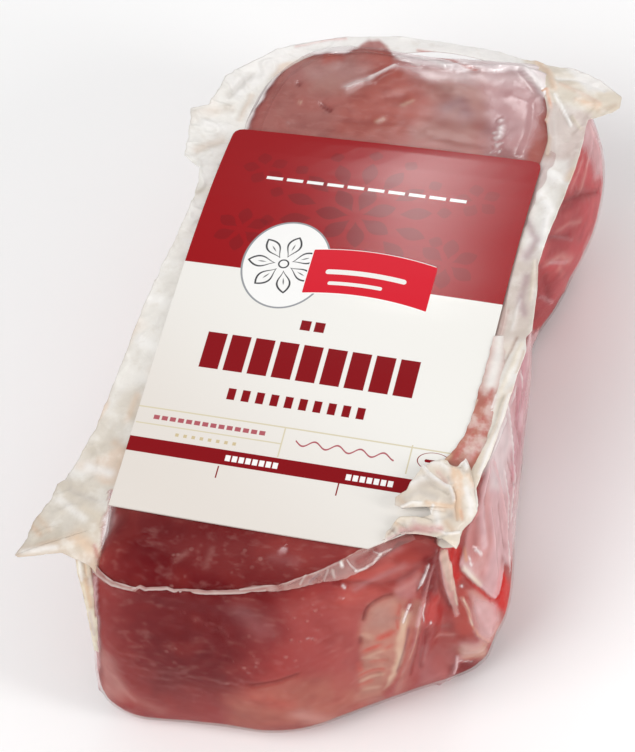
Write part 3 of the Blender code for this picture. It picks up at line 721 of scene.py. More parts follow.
# Marks in the film: path in the picture, half width mm, height mm, haze, tint
filmMarks = (
    # far end: folds along the rim with painted highlights and sheen on them, painted glints, and a painted
    # shadow line where the film leaves the meat
    ([(300, 51), (325, 46), (352, 44)], 1.2, 0.4, 0.2, "white"),
    ([(396, 58), (420, 59), (446, 66)], 1.2, 0.5, 0.25, "white"),
    ([(436, 54), (452, 60), (466, 66), (476, 70)], 0.8, -0.3, 0.6, "brown"),
    ([(392, 54), (400, 60), (420, 65)], 0.6, 0.3, 0.3, "white"),
    ([(498, 66), (522, 67), (534, 80), (545, 95)], 1, 0.6, 0.5, "blush"),
    ([(524, 66), (548, 94)], 1.6, 0.2, 0.3, "white"),
    ([(370, 78), (380, 73), (394, 66)], 0.8, 0.7, 0.75, "white"),
    ([(346, 87), (358, 82), (370, 79)], 1.8, 0.3, 0.26, "white"),
    # painted shadow line where the film leaves the meat
    ([(280, 67), (268, 84), (256, 104), (244, 128)], 0.55, -0.3, 0.8, "shadow"),
    # the white specks from here on are painted glints
    ([(276, 68), (262, 88), (240, 126)], 0.6, 0.4, 0.4, "white"), ([(501, 121)], 0.8, 0.6, 0.9, "white"),
    ([(501, 127), (500, 138)], 0.85, 0.8, 0.98, "white"), ([(494, 133), (497, 149)], 0.5, 0.3, 0.35, "white"),
    ([(501, 144)], 0.7, 0.4, 0.9, "white"), ([(499, 152)], 0.7, 0.4, 0.9, "white"),
    ([(493, 152)], 0.6, 0.3, 0.85, "white"), ([(536, 100), (532, 130), (524, 152)], 1.4, 0.4, 0.12, "milk"),
    ([(512, 96), (530, 104)], 2, 0.3, 0.1, "milk"),
    # front: a bubble with a painted highlight, small painted glints under the seam, the left edge's upright
    # fold
    ([(281, 552), (284, 550)], 0.9, 0.6, 0.3, "milk"), ([(282, 550), (286, 551)], 0.4, 0.3, 0.6, "white"),
    ([(274, 558), (296, 562)], 2.4, 0.2, 0.1, "milk"), ([(343, 586), (345, 588)], 0.45, 0.4, 0.7, "white"),
    ([(340, 598), (344, 598)], 0.4, 0.2, 0.22, "white"), ([(306, 638), (312, 638)], 0.4, 0.3, 0.2, "white"),
    ([(96, 576), (95, 600), (97, 640), (101, 690)], 0.6, 0.6, 0.45, "milk"),
    ([(102, 692), (128, 712)], 1.2, 0.1, 0.3, "milk"),
    # corner: pleats that gather at the ear, with painted highlights on the pleats and round the hanging flap
    ([(428, 567), (425, 575), (421, 584)], 0.4, 0.9, 0.9, "white"),
    ([(424, 574), (419, 588)], 0.3, 0.4, 0.35, "white"),
    ([(436, 553), (431, 575), (425, 596), (417, 624)], 0.8, 0.7, 0.3, "rose"),
    ([(410, 604), (406, 613), (403, 622)], 0.4, 0.7, 0.85, "white"),
    ([(424, 603), (422, 612), (424, 621)], 0.28, 0.4, 0.6, "white"),
    ([(430, 622), (431, 623)], 0.38, 0.3, 0.9, "white"),
    ([(430, 600), (421, 640), (414, 680)], 0.7, -0.8, -0.05, "milk"),
    ([(420, 606), (414, 640), (402, 672)], 0.5, 0.5, 0.15, "milk"),
    ([(444, 552), (449, 572), (451, 588)], 0.9, 0.9, 0.2, "flapTop"),
    ([(449, 562), (453, 580), (457, 604)], 0.4, 0.5, 0.4, "cream"),
    ([(462, 597), (468, 608), (471, 622), (478, 634), (489, 641)], 0.6, 0.7, 0.55, "tan"),
    ([(463, 598), (469, 612), (472, 624)], 0.25, 0.3, 0.55, "cream"),
    ([(458, 660), (470, 661), (484, 658)], 0.35, 0.3, 0.4, "white"),
    ([(457, 656), (456, 667), (451, 677), (441, 688)], 0.4, 0.6, 0.6, "milk"),
    ([(440, 690), (450, 676), (458, 658)], 1.4, 0.2, 0.16, "milk"),
    ([(476, 606), (484, 622), (492, 634)], 0.8, 0.4, 0.25, "milk"),
    ([(463, 568), (470, 575), (479, 584)], 0.9, 0.9, 0.75, "cream"),
    ([(479, 584), (490, 594), (495, 597)], 0.5, 0.8, 0.55, "milk"),
    ([(497, 594), (500, 580), (503, 558)], 0.5, 0.7, 0.5, "milk"),
    # painted highlights round the hanging flap
    ([(475, 549), (478, 551), (481, 554)], 0.45, 0.5, 0.85, "white"),
    ([(469, 557), (470, 560)], 0.3, 0.3, 0.7, "white"), ([(470, 563), (472, 565)], 0.3, 0.3, 0.6, "white"),
    ([(461, 585), (462, 586)], 0.42, 0.4, 0.85, "white"), ([(464, 548), (466, 560)], 0.6, 0.4, 0.3, "tan"),
    # right wall: long pleats
    ([(493, 462), (500, 490), (505, 520), (506, 552)], 0.6, 0.9, 0.5, "milk"),
    ([(507, 405), (511, 440), (514, 478), (510, 520)], 0.5, 0.7, 0.45, "white"),
    ([(499, 505), (504, 545)], 0.5, -0.8, -0.4, "milk"), ([(508, 460), (514, 490)], 0.5, -0.6, -0.4, "milk"),
    ([(512, 458), (517, 482)], 0.4, -0.5, -0.35, "milk"),
    ([(518, 392), (516, 420), (520, 440)], 1.4, -0.4, -0.25, "mauve"),
    ([(520, 372), (522, 386)], 0.5, 0.6, 0.5, "white"), ([(516, 386), (511, 402)], 0.4, 0.6, 0.45, "white"),
    ([(488, 470), (481, 500), (484, 545)], 1.6, 0.5, 0.2, "milk"),
    ([(505, 420), (496, 442), (480, 474)], 1, 0.6, 0.3, "white"),
    ([(507, 540), (509, 572)], 0.5, 0.6, 0.45, "white"),
    ([(490, 510), (494, 540), (496, 575)], 1, 0.5, 0.2, "milk"),
    ([(504, 470), (508, 500), (507, 530)], 0.4, 0.5, 0.4, "white"),
    ([(476, 520), (474, 545)], 1, -0.5, -0.2, "rose"), ([(478, 502), (482, 530)], 0.9, 0.4, 0.15, "milk"),
    # lobe
    ([(590, 126), (599, 150), (601, 190)], 0.9, 0.3, 0.4, "milk"),
    ([(586, 166), (592, 142)], 0.5, 0.5, 0.35, "milk"), ([(576, 176), (584, 150)], 0.4, 0.4, 0.25, "milk"),
    ([(600, 200), (584, 246), (565, 290)], 0.8, 0.3, 0.35, "milk"),
    ([(574, 192), (598, 188)], 0.6, 0.4, 0.15, "milk"), ([(549, 262), (566, 262)], 0.8, 0.5, 0.3, "milk"),
    ([(540, 296), (552, 302)], 0.6, 0.4, 0.35, "milk"), ([(552, 236), (572, 240)], 0.6, 0.3, 0.18, "milk"),
)


def filmShape():
    x, y, z = laidOut.T
    broad = grain(laidOut, film["broadSize"], 5)
    tint = np.tile(np.array(film["milk"]), (len(x), 1))

    # sides that the picture doesn't show
    waves = film["footWave"] * grain(laidOut, film["footWaveSize"], 54)
    high = ease((z + waves - film["footHaze"]) / film["footEase"])
    high *= ease((topHeight(x, y) - z) / film["topEase"])
    cloud = grain(laidOut * np.array(film["cloudStretch"]), film["cloudSize"], 55)
    cloud = ease((cloud - film["cloudStart"]) / film["cloudSoft"]) * high
    varies = film["cloudVaries"] * broad
    right = (1 - facing) * ease((x - film["rightX"]) / film["rightEase"])
    left = ease((film["leftX"] - x) / film["leftEase"]) * ease((y - film["leftFront"]) / film["leftFrontEase"])
    far = ease((y - film["farY"]) / film["farEase"])
    haze = right * cloud * (film["rightHaze"] + varies)
    haze += left * cloud * (film["leftHaze"] + varies)
    haze += far * cloud * (film["farHaze"] + varies)
    haze = np.clip(haze, 0, 1)
    walls = haze.copy()

    wandering = packPicture + film["wander"] * grain(laidOut, film["wanderSize"], 8)[:, None]
    for corners, soft, milky, colour in filmPatches:
        share = inPatch(packPicture if soft < 4 else wandering, corners, soft) * facingWaist
        tint = mixed(tint, film[colour], share)
        haze = haze + (milky - haze) * share * (milky > haze)
    haze *= 1 + film["mottle"] * grain(laidOut, film["mottleSize"], 9)
    pleats = np.abs(grain(laidOut * np.array(film["pleatStretch"]), film["pleatSize"], 7))
    sharp = np.exp(-((pleats / film["pleatHalf"]) ** 2)) * walls
    height = film["crinkle"] * grain(laidOut, film["crinkleSize"], 6) * (0.3 + haze)
    height += film["pleatHeight"] * sharp
    haze += film["pleatHaze"] * sharp
    for path, half, rise, milky, colour in filmMarks:
        near = nearPath(packPlaces, path) * (1 + film["uneven"] * broad)
        soft = np.exp(-((near / (half * mm)) ** 2))
        height += rise * mm * soft
        if milky > 0:
            tint = mixed(tint, film[colour], soft)
        haze += milky * soft * (1 - np.clip(haze, 0, 1) if milky > 0 else 1)
    return height, np.clip(haze, 0, 1), tint


print("laying the film")
clearFilm = tongue.copy()
clearFilm.data = tongue.data.copy()
clearFilm.name = clearFilm.data.name = "clearFilm"
bpy.context.scene.collection.objects.link(clearFilm)
for attribute in ("meatPaint", "papillae"):
    clearFilm.data.attributes.remove(clearFilm.data.attributes[attribute])
filmHeight, filmHaze, filmColour = filmShape()
covered = underLabel(1.5 * mm)
filmHeight *= 1 - covered
filmHaze *= 1 - covered
follow = np.minimum(meatHeight, 0) * film["sinks"]
filmDepth = np.maximum(film["offset"] + filmHeight + follow, meatDepth + film["clearance"])
setPlaces(clearFilm, packPlaces + packNormals * filmDepth[:, None])
filmPaint = mixed(meatPaint * film["touchShade"], filmColour, ease(filmHaze / film["tintEase"]))
setPaint(clearFilm, "filmTint", filmPaint)
filmAlpha = film["contactAlpha"] + (film["hazeAlpha"] - film["contactAlpha"]) * filmHaze
setMask(clearFilm, "veil", filmAlpha)


# Shader tools

def newMaterial(name):
    material = bpy.data.materials.new(name)
    material.use_nodes = True
    return material, material.node_tree, material.node_tree.nodes["Principled BSDF"]


def feed(tree, item, inputs):  # numbers and colours are set, outputs of other nodes are linked
    for key, value in inputs.items():
        socket = item.inputs[key]
        if isinstance(value, bpy.types.NodeSocket):
            tree.links.new(value, socket)
        elif socket.type == "RGBA":
            socket.default_value = (*value, 1.0)
        else:
            socket.default_value = value


def addNode(tree, kind, inputs=None, **settings):
    item = tree.nodes.new(kind)
    place = len(tree.nodes)
    item.location = (220 * (place % 12) - 2800, 400 - 260 * (place // 12))  # in rows, to be read
    for key, value in settings.items():
        setattr(item, key, value)
    feed(tree, item, inputs or {})
    return item


def calc(tree, how, first, second=None, clamp=False):
    inputs = {0: first} if second is None else {0: first, 1: second}
    return addNode(tree, "ShaderNodeMath", inputs, operation=how, use_clamp=clamp).outputs[0]


def times(tree, first, second):
    return calc(tree, "MULTIPLY", first, second)


def noiseAt(tree, place, scale, detail, stretch=None):
    if stretch is not None:
        place = addNode(tree, "ShaderNodeMapping", {"Vector": place, "Scale": stretch}).outputs[0]
    inputs = {"Vector": place, "Scale": scale, "Detail": detail, "Roughness": 0.55}
    return addNode(tree, "ShaderNodeTexNoise", inputs).outputs["Fac"]


def ramp(tree, value, low, high, fromValue=0.0, toValue=1.0):
    inputs = {"Value": value, "From Min": low, "From Max": high, "To Min": fromValue, "To Max": toValue}
    return addNode(tree, "ShaderNodeMapRange", inputs, interpolation_type="SMOOTHSTEP").outputs[0]


def blendColour(tree, share, first, second):
    return addNode(tree, "ShaderNodeMix", {0: share, 6: first, 7: second}, data_type="RGBA").outputs[2]


def bumpFrom(tree, height, strength, distance):
    inputs = {"Height": height, "Strength": strength, "Distance": distance}
    return addNode(tree, "ShaderNodeBump", inputs).outputs[0]


def newGroup(name, vectors, numbers, outputs):
    group = bpy.data.node_groups.new(name, "ShaderNodeTree")
    sockets = [(key, "INPUT", "NodeSocketVector") for key in vectors]
    sockets += [(key, "INPUT", "NodeSocketFloat") for key in numbers]
    sockets += [(key, "OUTPUT", "NodeSocketFloat") for key in outputs]
    for key, way, kind in sockets:
        group.interface.new_socket(key, in_out=way, socket_type=kind)
    return group, addNode(group, "NodeGroupInput").outputs, addNode(group, "NodeGroupOutput")


def objectPlace(tree):
    return addNode(tree, "ShaderNodeTexCoord").outputs["Object"]


def paintOf(tree, name):
    return addNode(tree, "ShaderNodeVertexColor", layer_name=name).outputs["Color"]


def maskOf(tree, name):
    return addNode(tree, "ShaderNodeAttribute", attribute_name=name).outputs["Fac"]


def meatMaterial():
    material, tree, shader = newMaterial("wetRawMeat")
    place, paint, papillae = objectPlace(tree), paintOf(tree, "meatPaint"), maskOf(tree, "papillae")
    mottle = noiseAt(tree, place, meat["mottleScale"], 5)
    fibres = noiseAt(tree, place, meat["fibreScale"], 4, stretch=meat["fibreStretch"])
    share = ramp(tree, mottle, 0.45, 0.75, 0.0, meat["mottleStrength"])
    dark = blendColour(tree, share, paint, meat["wine"])
    share = ramp(tree, fibres, 0.50, 0.74, 0.0, meat["fibreStrength"])
    light = blendColour(tree, share, dark, meat["pale"])
    inputs = {"Vector": place, "Scale": meat["speckScale"], "Randomness": 1.0}
    dots = addNode(tree, "ShaderNodeTexVoronoi", inputs)
    clusters = ramp(tree, noiseAt(tree, place, meat["clusterScale"], 2), 0.48, 0.62)
    specks = ramp(tree, dots.outputs["Distance"], 0.30, 0.16)
    specks = times(tree, times(tree, specks, clusters), papillae)
    height = calc(tree, "ADD", times(tree, mottle, 0.6), times(tree, specks, 0.8))
    feed(tree, shader, {
        "Base Color": blendColour(tree, times(tree, specks, meat["speckStrength"]), light, meat["pale"]),
        "Normal": bumpFrom(tree, height, meat["bump"], meat["bumpHeight"]),
        "Roughness": meat["roughness"],
        "Specular IOR Level": meat["shine"],
    })
    return material


def cloudGroup():  # where film looks cloudy, how thick it looks there and how it crinkles
    numbers = ("Scale", "Full", "Strength", "Thinnest", "Thickest", "Crinkle Scale", "Crinkle Detail")
    vectors = ("Place", "Stretch", "Crinkle Stretch")
    outputs = ("Pale", "Alpha", "Crinkle")
    group, given, out = newGroup("cloudyFilm", vectors, ("Veil", "Haze") + numbers, outputs)
    place = given["Place"]
    cloud = noiseAt(group, place, given["Scale"], 4, given["Stretch"])
    pale = ramp(group, cloud, 0.50, given["Full"], 0.0, given["Strength"])
    thick = ramp(group, cloud, 0.30, 0.70, given["Thinnest"], given["Thickest"])
    crinkle = noiseAt(group, place, given["Crinkle Scale"], given["Crinkle Detail"], given["Crinkle Stretch"])
    feed(group, out, {
        "Pale": times(group, pale, given["Haze"]),
        "Alpha": calc(group, "MULTIPLY", given["Veil"], thick, clamp=True),
        "Crinkle": crinkle,
    })
    return group


cloudyFilm = cloudGroup()


def cloudsOn(tree, look, veil, haze):  # the group with one film's own values
    inputs = {"Place": objectPlace(tree), "Veil": veil, "Haze": haze, **look}
    return addNode(tree, "ShaderNodeGroup", inputs, node_tree=cloudyFilm).outputs


def filmMaterial():
    material, tree, shader = newMaterial("clearTightFilm")
    tint, veil = paintOf(tree, "filmTint"), maskOf(tree, "veil")
    hazy = ramp(tree, veil, 0.30, 0.90)
    clouds = cloudsOn(tree, film["look"], veil, hazy)
    feed(tree, shader, {
        "Base Color": blendColour(tree, clouds["Pale"], tint, film["white"]),
        "Alpha": clouds["Alpha"],
        "Normal": bumpFrom(tree, times(tree, clouds["Crinkle"], hazy), film["bump"], film["bumpHeight"]),
        "Roughness": film["roughness"],
        "IOR": film["ior"],
    })
    return material


finishPiece(tongue, meatMaterial(), "film_over_meat", "sealed_pack")
finishPiece(clearFilm, filmMaterial(), "film_over_meat")
print("tongue and film finished")


# Welded margin: a crumpled band of two sheets of film round the rim

margin = dict(
    columns=1200, rows=36, thickness=0.25 * mm, start=40,
    wave=0.9 * mm, crumple=0.5 * mm, crinkle=0.16 * mm, ragged=0.9 * mm,
    jags=((0.0045, 11), (0.0016, 12)), spread=0.8, freeStart=0.35, freeEase=0.5, stiff=0.1,
    waveSize=0.013, crumpleSize=0.008, crumpleHalf=0.10, crumpleMiddle=0.35, crinkleSize=0.0026,
    milkyAll=0.88, milkyVaries=0.10, milkySize=0.011, milkyLeast=0.02, milkyMost=0.98,
    wanderSize=0.004, wanderPatch=1.6, wanderMark=0.8,  # in pixels
    clouds=(  # tint, size, seed, start, softness, strength
        ("pale", 0.009, 23, 0.10, 0.50, 0.75), ("dull", 0.006, 24, 0.05, -0.45, 0.50),
        ("peach", 0.010, 25, -0.28, 0.30, 0.45),
    ),
    look={
        "Stretch": (1.0, 1.0, 1.0), "Scale": 150, "Full": 0.72, "Strength": 0.45,
        "Thinnest": 0.93, "Thickest": 1.05,
        "Crinkle Stretch": (1.0, 1.0, 1.0), "Crinkle Scale": 380, "Crinkle Detail": 4,
    },
    dullScale=260, dullStrength=0.30, bump=0.4, bumpHeight=0.5 * mm, roughness=0.34, ior=1.45,
    base=tone(228, 220, 208), pale=tone(246, 243, 238), dull=tone(207, 196, 180),
    white=tone(250, 247, 244), cream=tone(230, 217, 198), blush=tone(220, 202, 196), tan=tone(210, 176, 146),
    peach=tone(234, 196, 162), orange=tone(222, 152, 112), pink=tone(208, 156, 152), mauve=tone(188, 158, 166),
    red=tone(186, 98, 88), grey=tone(200, 192, 184), brown=tone(150, 104, 84),
    clear=tone(190, 110, 104), peak=tone(166, 80, 72),
)

# Outer edge as it shows in the picture, from the near left corner round: across, down,
# then in mm the drop of the outer and inner edge, raggedness, and where it isn't margin["start"],
# how far from the middle line it starts
marginEdge = (
    (15, 555, 2, 1, 0.3), (18, 557, 2, 1, 0.3), (40, 555, 2.2, 1, 0.4), (61, 553, 3, 1.6, 0.4),
    (72, 558, 3.5, 2.5, 0.3), (80, 561, 4.8, 3.6, 0.3), (90, 566, 6.8, 5.6, 0.3), (97, 575, 8.8, 7.8, 0.25),
    (105, 583, 8.6, 7.6, 0.2), (120, 587, 8.2, 7.1, 0.2), (134, 590, 7.5, 6.5, 0.2), (142, 586, 7, 6, 0.1),
    (148, 589, 6.6, 5.6, 0.1), (172, 587, 5.6, 4.6, 0.1), (180, 590, 5.4, 4.4, 0.1),
    (200, 590, 5.2, 4.2, 0.1), (212, 592, 5, 4, 0.1), (236, 592, 4.2, 3.2, 0.1), (260, 587, 3, 2.2, 0.1),
    (280, 588, 2.4, 1.8, 0.15), (296, 581, 1.7, 1.2, 0.15), (320, 573, 0.9, 0.9, 0.15),
    (338, 565, 0.8, 0.8, 0.15), (346, 572, 0.8, 0.8, 0.15), (354, 571, 0.8, 0.8, 0.15),
    (366, 570, 0.7, 0.8, 0.15), (380, 560, 0.6, 0.8, 0.15), (392, 550, 0.6, 0.8, 0.2),
    (410, 541, 0.8, 0.8, 0.2), (437, 538, 1, 0.8, 0.2), (443, 548, 1.5, 1, 0.2), (456, 547, 1, 1, 0.2),
    (459, 540, 0.8, 1, 0.2), (461, 531, 0.5, 1, 0.2), (472, 521, 0, 1, 0.2), (477, 510, -0.5, 1, 0.15),
    (478, 500, -1, 1, 0.15), (476, 488, -1, 1, 0.15), (490, 458, -1, 1, 0.12), (505, 417, -1.5, 1, 0.12),
    (512, 393, -2, 1, 0.12), (518, 372, -2.2, 1, 0.2), (526, 350, -2.3, 1, 0.25), (526, 337, -2.4, 1, 0.25),
    (532, 330, -2.5, 1, 0.2), (537, 293, -2.5, 1, 0.2), (538, 265, -2.5, 1, 0.25), (549, 233, -2.2, 1, 0.2),
    (562, 202, -2, 1, 0.2, 42), (576, 167, -1.5, 0.6, 0.2, 47), (583, 142, -1, 0, 0.3, 47.7),
    (588, 120, -1, -0.3, 0.35, 47.4), (612, 113, -1.3, -0.3, 0.4, 47), (620, 108, -1.5, -0.3, 0.4, 47.6),
    (622, 97, -1.5, -0.3, 0.4, 48.6), (600, 80, 0.5, -0.2, 0.4, 50), (574, 69, 2, 0.2, 0.4, 50),
    (560, 68, 2.4, 0.6, 0.4, 49), (540, 65, 3, 1.2, 0.3, 48.4), (500, 52, 4, 2.4, 0.25, 47.8),
    (440, 42, 4, 3, 0.2, 46.5), (400, 37, 4, 3.4, 0.2, 45), (345, 37, 4, 3.6, 0.2, 44),
    (300, 44, 3, 3.4, 0.3, 44), (275, 50, 2, 4, 0.6, 42), (250, 62, 2, 4.4, 0.8), (224, 75, 2, 4.5, 1),
    (222, 82, 2, 4.4, 0.9), (208, 105, 2, 4, 1), (191, 109, 2, 4, 1), (185, 156, 2, 3.6, 1),
    (199, 168, 2, 3.5, 0.9), (198, 182, 2, 3.2, 0.8), (185, 218, 2, 2.2, 0.7), (145, 303, 2, 1.4, 0.6),
    (119, 370, 2, 1, 0.5), (95, 430, 3, 1, 0.6), (80, 455, 3.2, 1, 0.9), (66, 480, 3.4, 1, 0.9),
    (57, 484, 3.6, 1, 0.9), (52, 500, 3.8, 1, 0.9), (45, 508, 4, 1, 1), (32, 524, 3.6, 1, 1),
    (28, 537, 3, 1, 0.7),
)

# How milky it is: outline in the picture, softness in pixels, tint, its share, milkiness
marginPatches = (
    ([(260, 66), (256, 28), (460, 34), (560, 44), (552, 74), (524, 70), (500, 66), (400, 60),
      (300, 58)], 6, "white", 0.95, 0.8),
    ([(400, 30), (540, 40), (530, 58), (470, 50), (400, 44)], 6, "white", 0.95, 0.84),
    ([(350, 53), (360, 46), (369, 40.5), (379, 40), (387, 46), (393, 55)], 5, "peak", 0.92, 0.88),
    ([(520, 50), (600, 74), (628, 98), (618, 118), (588, 126), (560, 112), (544, 104),
      (524, 68)], 7, "cream", 0.7, 0.84),
    ([(562, 64), (602, 74), (612, 90), (588, 92)], 7, "white", 0.9, 0.66),
    ([(596, 92), (628, 96), (618, 118), (598, 112)], 7, "cream", 0.9, 0.84),
    ([(546, 100), (592, 114), (580, 152), (556, 190), (538, 172), (546, 130)], 8, "blush", 0.8, 0.82),
    ([(540, 160), (570, 160), (552, 232), (538, 266), (518, 262)], 10, "pale", 0.8, 0.92),
    ([(512, 250), (544, 244), (536, 300), (530, 340), (490, 350), (500, 300)], 10, "blush", 0.45, 0.88),
    ([(486, 340), (530, 340), (512, 396), (500, 430), (480, 400)], 10, "white", 0.45, 0.9),
    ([(478, 392), (496, 386), (490, 420), (478, 446), (452, 470), (436, 466),
      (452, 430)], 7, "pink", 0.6, 0.8),
    ([(502, 392), (513, 396), (486, 482), (476, 490), (466, 478), (484, 440)], 6, "cream", 0.8, 0.94),
    # far left and left
    ([(180, 100), (210, 60), (262, 40), (286, 52), (262, 96), (230, 180), (196, 190),
      (180, 156)], 8, "pale", 0.75, 0.92),
    ([(222, 66), (276, 44), (292, 54), (262, 84), (236, 100)], 8, "white", 0.8, 0.84),
    ([(180, 200), (230, 190), (190, 300), (150, 380), (110, 400)], 14, "pale", 0.7, 0.92),
    ([(20, 512), (60, 474), (104, 490), (104, 548), (60, 556), (10, 560)], 16, "dull", 0.6, 0.92),
    ([(10, 545), (60, 545), (100, 560), (100, 575), (60, 562), (12, 562)], 8, "tan", 0.3, 0.9),
    # front: clear, out to the seam
    ([(109, 490), (109, 507), (103, 520), (101, 545), (99, 560), (97, 572), (100, 600), (134, 606),
      (240, 608), (300, 600), (346, 592), (392, 576), (392, 500)], 3, "clear", 1, 0.03),
    ([(338, 530), (392, 520), (436, 530), (438, 549), (392, 576), (338, 596)], 3, "clear", 1, 0.04),
)

# Creases and stains, the grey ones painted shade in creases and a brown one a painted shadow line: path in the
# picture, half width in pixels, tint, strength, height mm, and where it changes, milkiness
marginMarks = (
    # far right corner
    ([(555, 95), (563, 110), (571, 126)], 1.6, "white", 0.9, 0.5, 0.2),
    # grey: painted shade beside the fold
    ([(559, 98), (573, 122)], 1.6, "grey", 0.5, -0.3),
    ([(536, 64), (548, 72), (554, 88)], 4, "tan", 0.75, 0.5, 0.2),
    ([(528, 60), (542, 64)], 2.2, "tan", 0.6, 0.3, 0.1),
    ([(541, 93), (547, 90), (550, 105), (547, 117), (543, 130), (532, 150)], 1.8, "orange", 0.75, 0.5, 0.2),
    ([(545, 99), (541, 130), (534, 152)], 2, "white", 0.6, 0.3, 0.2),
    ([(548, 138), (547, 155)], 3, "tan", 0.6, 0.3),
    ([(578, 100), (588, 104), (597, 107)], 4, "peach", 0.7, 0.3, 0.1),
    ([(560, 84), (586, 96), (600, 104)], 2, "orange", 0.25, 0.3),
    ([(556, 78), (580, 80), (604, 90)], 2, "white", 0.6, -0.4),
    ([(600, 112), (616, 106)], 3, "tan", 0.35, 0.2), ([(572, 118), (580, 128)], 2.2, "cream", 0.8, 0.3),
    ([(554, 112), (556, 150)], 2.6, "white", 0.15, 0.2),
    ([(418, 51), (436, 54), (452, 60)], 1.5, "red", 0.7, 0, 0.2),
    ([(296, 47), (325, 41), (346, 39)], 1.3, "pink", 0.55, 0.2, 0.2),
    # right strip
    # whiter, milkier patches with painted highlights
    ([(550, 173), (558, 181)], 5, "white", 0.95, 0.5, 0.1),
    ([(540, 195), (550, 210)], 5, "white", 0.95, 0.5, 0.1),
    ([(546, 218), (541, 246)], 4, "white", 0.9, 0.4, 0.1),
    ([(528, 224), (536, 240), (526, 256)], 5, "mauve", 0.55, -0.4, -0.1),
    ([(526, 277), (520, 300), (524, 313)], 4.5, "mauve", 0.55, -0.4, -0.1),
    ([(535, 262), (531, 300)], 2.2, "cream", 0.6, 0.4, 0.1),
    ([(537, 262), (538, 290)], 1.4, "brown", 0.3, -0.2),
    ([(492, 354), (495, 366)], 4.5, "white", 0.85, 0.4, 0.1),
    # painted shadow line along the strip
    ([(517, 338), (512, 348), (502, 367), (495, 380)], 1.5, "brown", 0.55, -0.4),
    ([(522, 345), (512, 366), (500, 392)], 2.6, "cream", 0.7, 0.4, 0.1),
    ([(524, 352), (516, 372)], 1.6, "tan", 0.5, -0.2), ([(504, 352), (498, 372)], 2, "pink", 0.4, -0.2),
    ([(492, 391), (486, 406)], 3, "red", 0.65, -0.4, -0.25),
    ([(486, 408), (478, 422)], 4, "red", 0.55, -0.4, -0.25),
    ([(474, 428), (466, 442)], 4, "red", 0.65, -0.4, -0.25),
    ([(464, 444), (455, 460)], 4, "red", 0.65, -0.4, -0.25),
    ([(496, 396), (486, 424), (476, 446)], 2, "blush", 0.8, 0.4, 0.2),
    ([(510, 396), (496, 436), (480, 474)], 2.4, "white", 0.7, 0.6, 0.1),
    # grey: painted shade in the crease
    ([(504, 396), (488, 438), (474, 462)], 1.4, "grey", 0.6, -0.4),
    ([(466, 462), (472, 454)], 3, "pink", 0.5, 0.2), ([(520, 300), (512, 330)], 2, "white", 0.45, 0.3),
    ([(508, 310), (502, 334)], 2, "pink", 0.35, -0.2),
    # left band
    ([(90, 468), (110, 474)], 6, "white", 0.8, 0.4), ([(116, 444), (124, 449)], 5, "tan", 0.45, 0.3),
    ([(30, 524), (40, 534)], 3, "tan", 0.65, -0.4), ([(36, 516), (50, 530)], 3, "tan", 0.45, 0.3),
    ([(78, 538), (98, 556)], 8, "peach", 0.55, 0.2), ([(95, 546), (98, 560)], 2.2, "red", 0.7, -0.3),
    ([(40, 546), (70, 540)], 4, "tan", 0.4, 0.3), ([(60, 500), (84, 520)], 4, "white", 0.6, 0.5),
    # the grey crease on this line is painted shade
    ([(22, 552), (56, 548)], 3, "white", 0.7, 0.3), ([(70, 490), (96, 500)], 3, "grey", 0.5, -0.4),
    ([(84, 508), (104, 520)], 4, "cream", 0.6, 0.3), ([(128, 420), (138, 396)], 4, "peach", 0.35, 0.3),
    ([(140, 340), (160, 350)], 6, "white", 0.6, 0.4), ([(150, 300), (176, 306)], 6, "white", 0.5, 0.4),
    ([(186, 240), (198, 250)], 5, "white", 0.6, 0.4), ([(196, 112), (232, 108)], 4, "tan", 0.16, 0.4),
    # the grey crease on this line is painted shade
    ([(196, 150), (222, 140)], 4, "tan", 0.35, -0.4), ([(228, 96), (250, 76)], 3, "grey", 0.45, -0.4),
    ([(206, 124), (226, 128)], 5, "white", 0.7, 0.4), ([(240, 120), (252, 96)], 3, "tan", 0.4, 0.3),
)


def spotsAtDrop(picture, drops):  # the places that show there, so far under the top's level
    rays = sightLines(picture)
    height = np.full(len(picture), form["top"])
    for _ in range(10):
        places = np.array(cameraPlace) + rays * ((height - cameraPlace.z) / rays[:, 2])[:, None]
        height = topHeight(places[:, 0] - middle.x, places[:, 1] - middle.y) - drops
    return np.column_stack((places[:, :2] - np.array(middle)[:2], height))


def marginLine(count):  # the outer edge and its other numbers, evenly spaced
    rows = np.array([row if len(row) == 6 else (*row, margin["start"]) for row in marginEdge], float)
    rows[:, 2:4] *= mm
    rows[:, 5] *= mm
    rows[:, :2] = spotsAtDrop(rows[:, :2], rows[:, 2])[:, :2]
    rows = np.vstack((rows, rows[:1]))
    lengths = np.linalg.norm(np.diff(rows[:, :2], axis=0), axis=1)
    passed = np.concatenate(([0.0], np.cumsum(lengths)))
    goals = passed[-1] * np.arange(count) / count
    return np.stack([np.interp(goals, passed, rows[:, k]) for k in range(rows.shape[1])], 1)


def paintSheet(item, patches, marks, tint, milky):  # tints, creases and milkiness, seen in the picture
    places = readPlaces(item)
    normals = readNormals(item)
    normals *= np.where(normals[:, 2:] < 0, -1, 1)
    picture = inPicture(places)
    small = grain(places, margin["wanderSize"], 22)[:, None]
    wandering = picture + margin["wanderPatch"] * small
    for corners, soft, colour, share, goal in patches:
        inside = inPatch(picture if soft < 5 else wandering, corners, soft)
        tint = mixed(tint, margin[colour], inside * share)
        milky = milky + (goal - milky) * inside
    rise = np.zeros(len(places))
    for path, half, colour, strength, height, *extra in marks:
        near = nearStroke(picture + margin["wanderMark"] * small, path)
        soft = np.exp(-((near / half) ** 2))
        tint = mixed(tint, margin[colour], soft * strength)
        rise += height * mm * soft
        milky = milky + sum(extra) * soft
    setPlaces(item, places + normals * rise[:, None])
    setPaint(item, "sheetTint", tint)
    setMask(item, "milky", np.clip(milky, margin["milkyLeast"], margin["milkyMost"]))


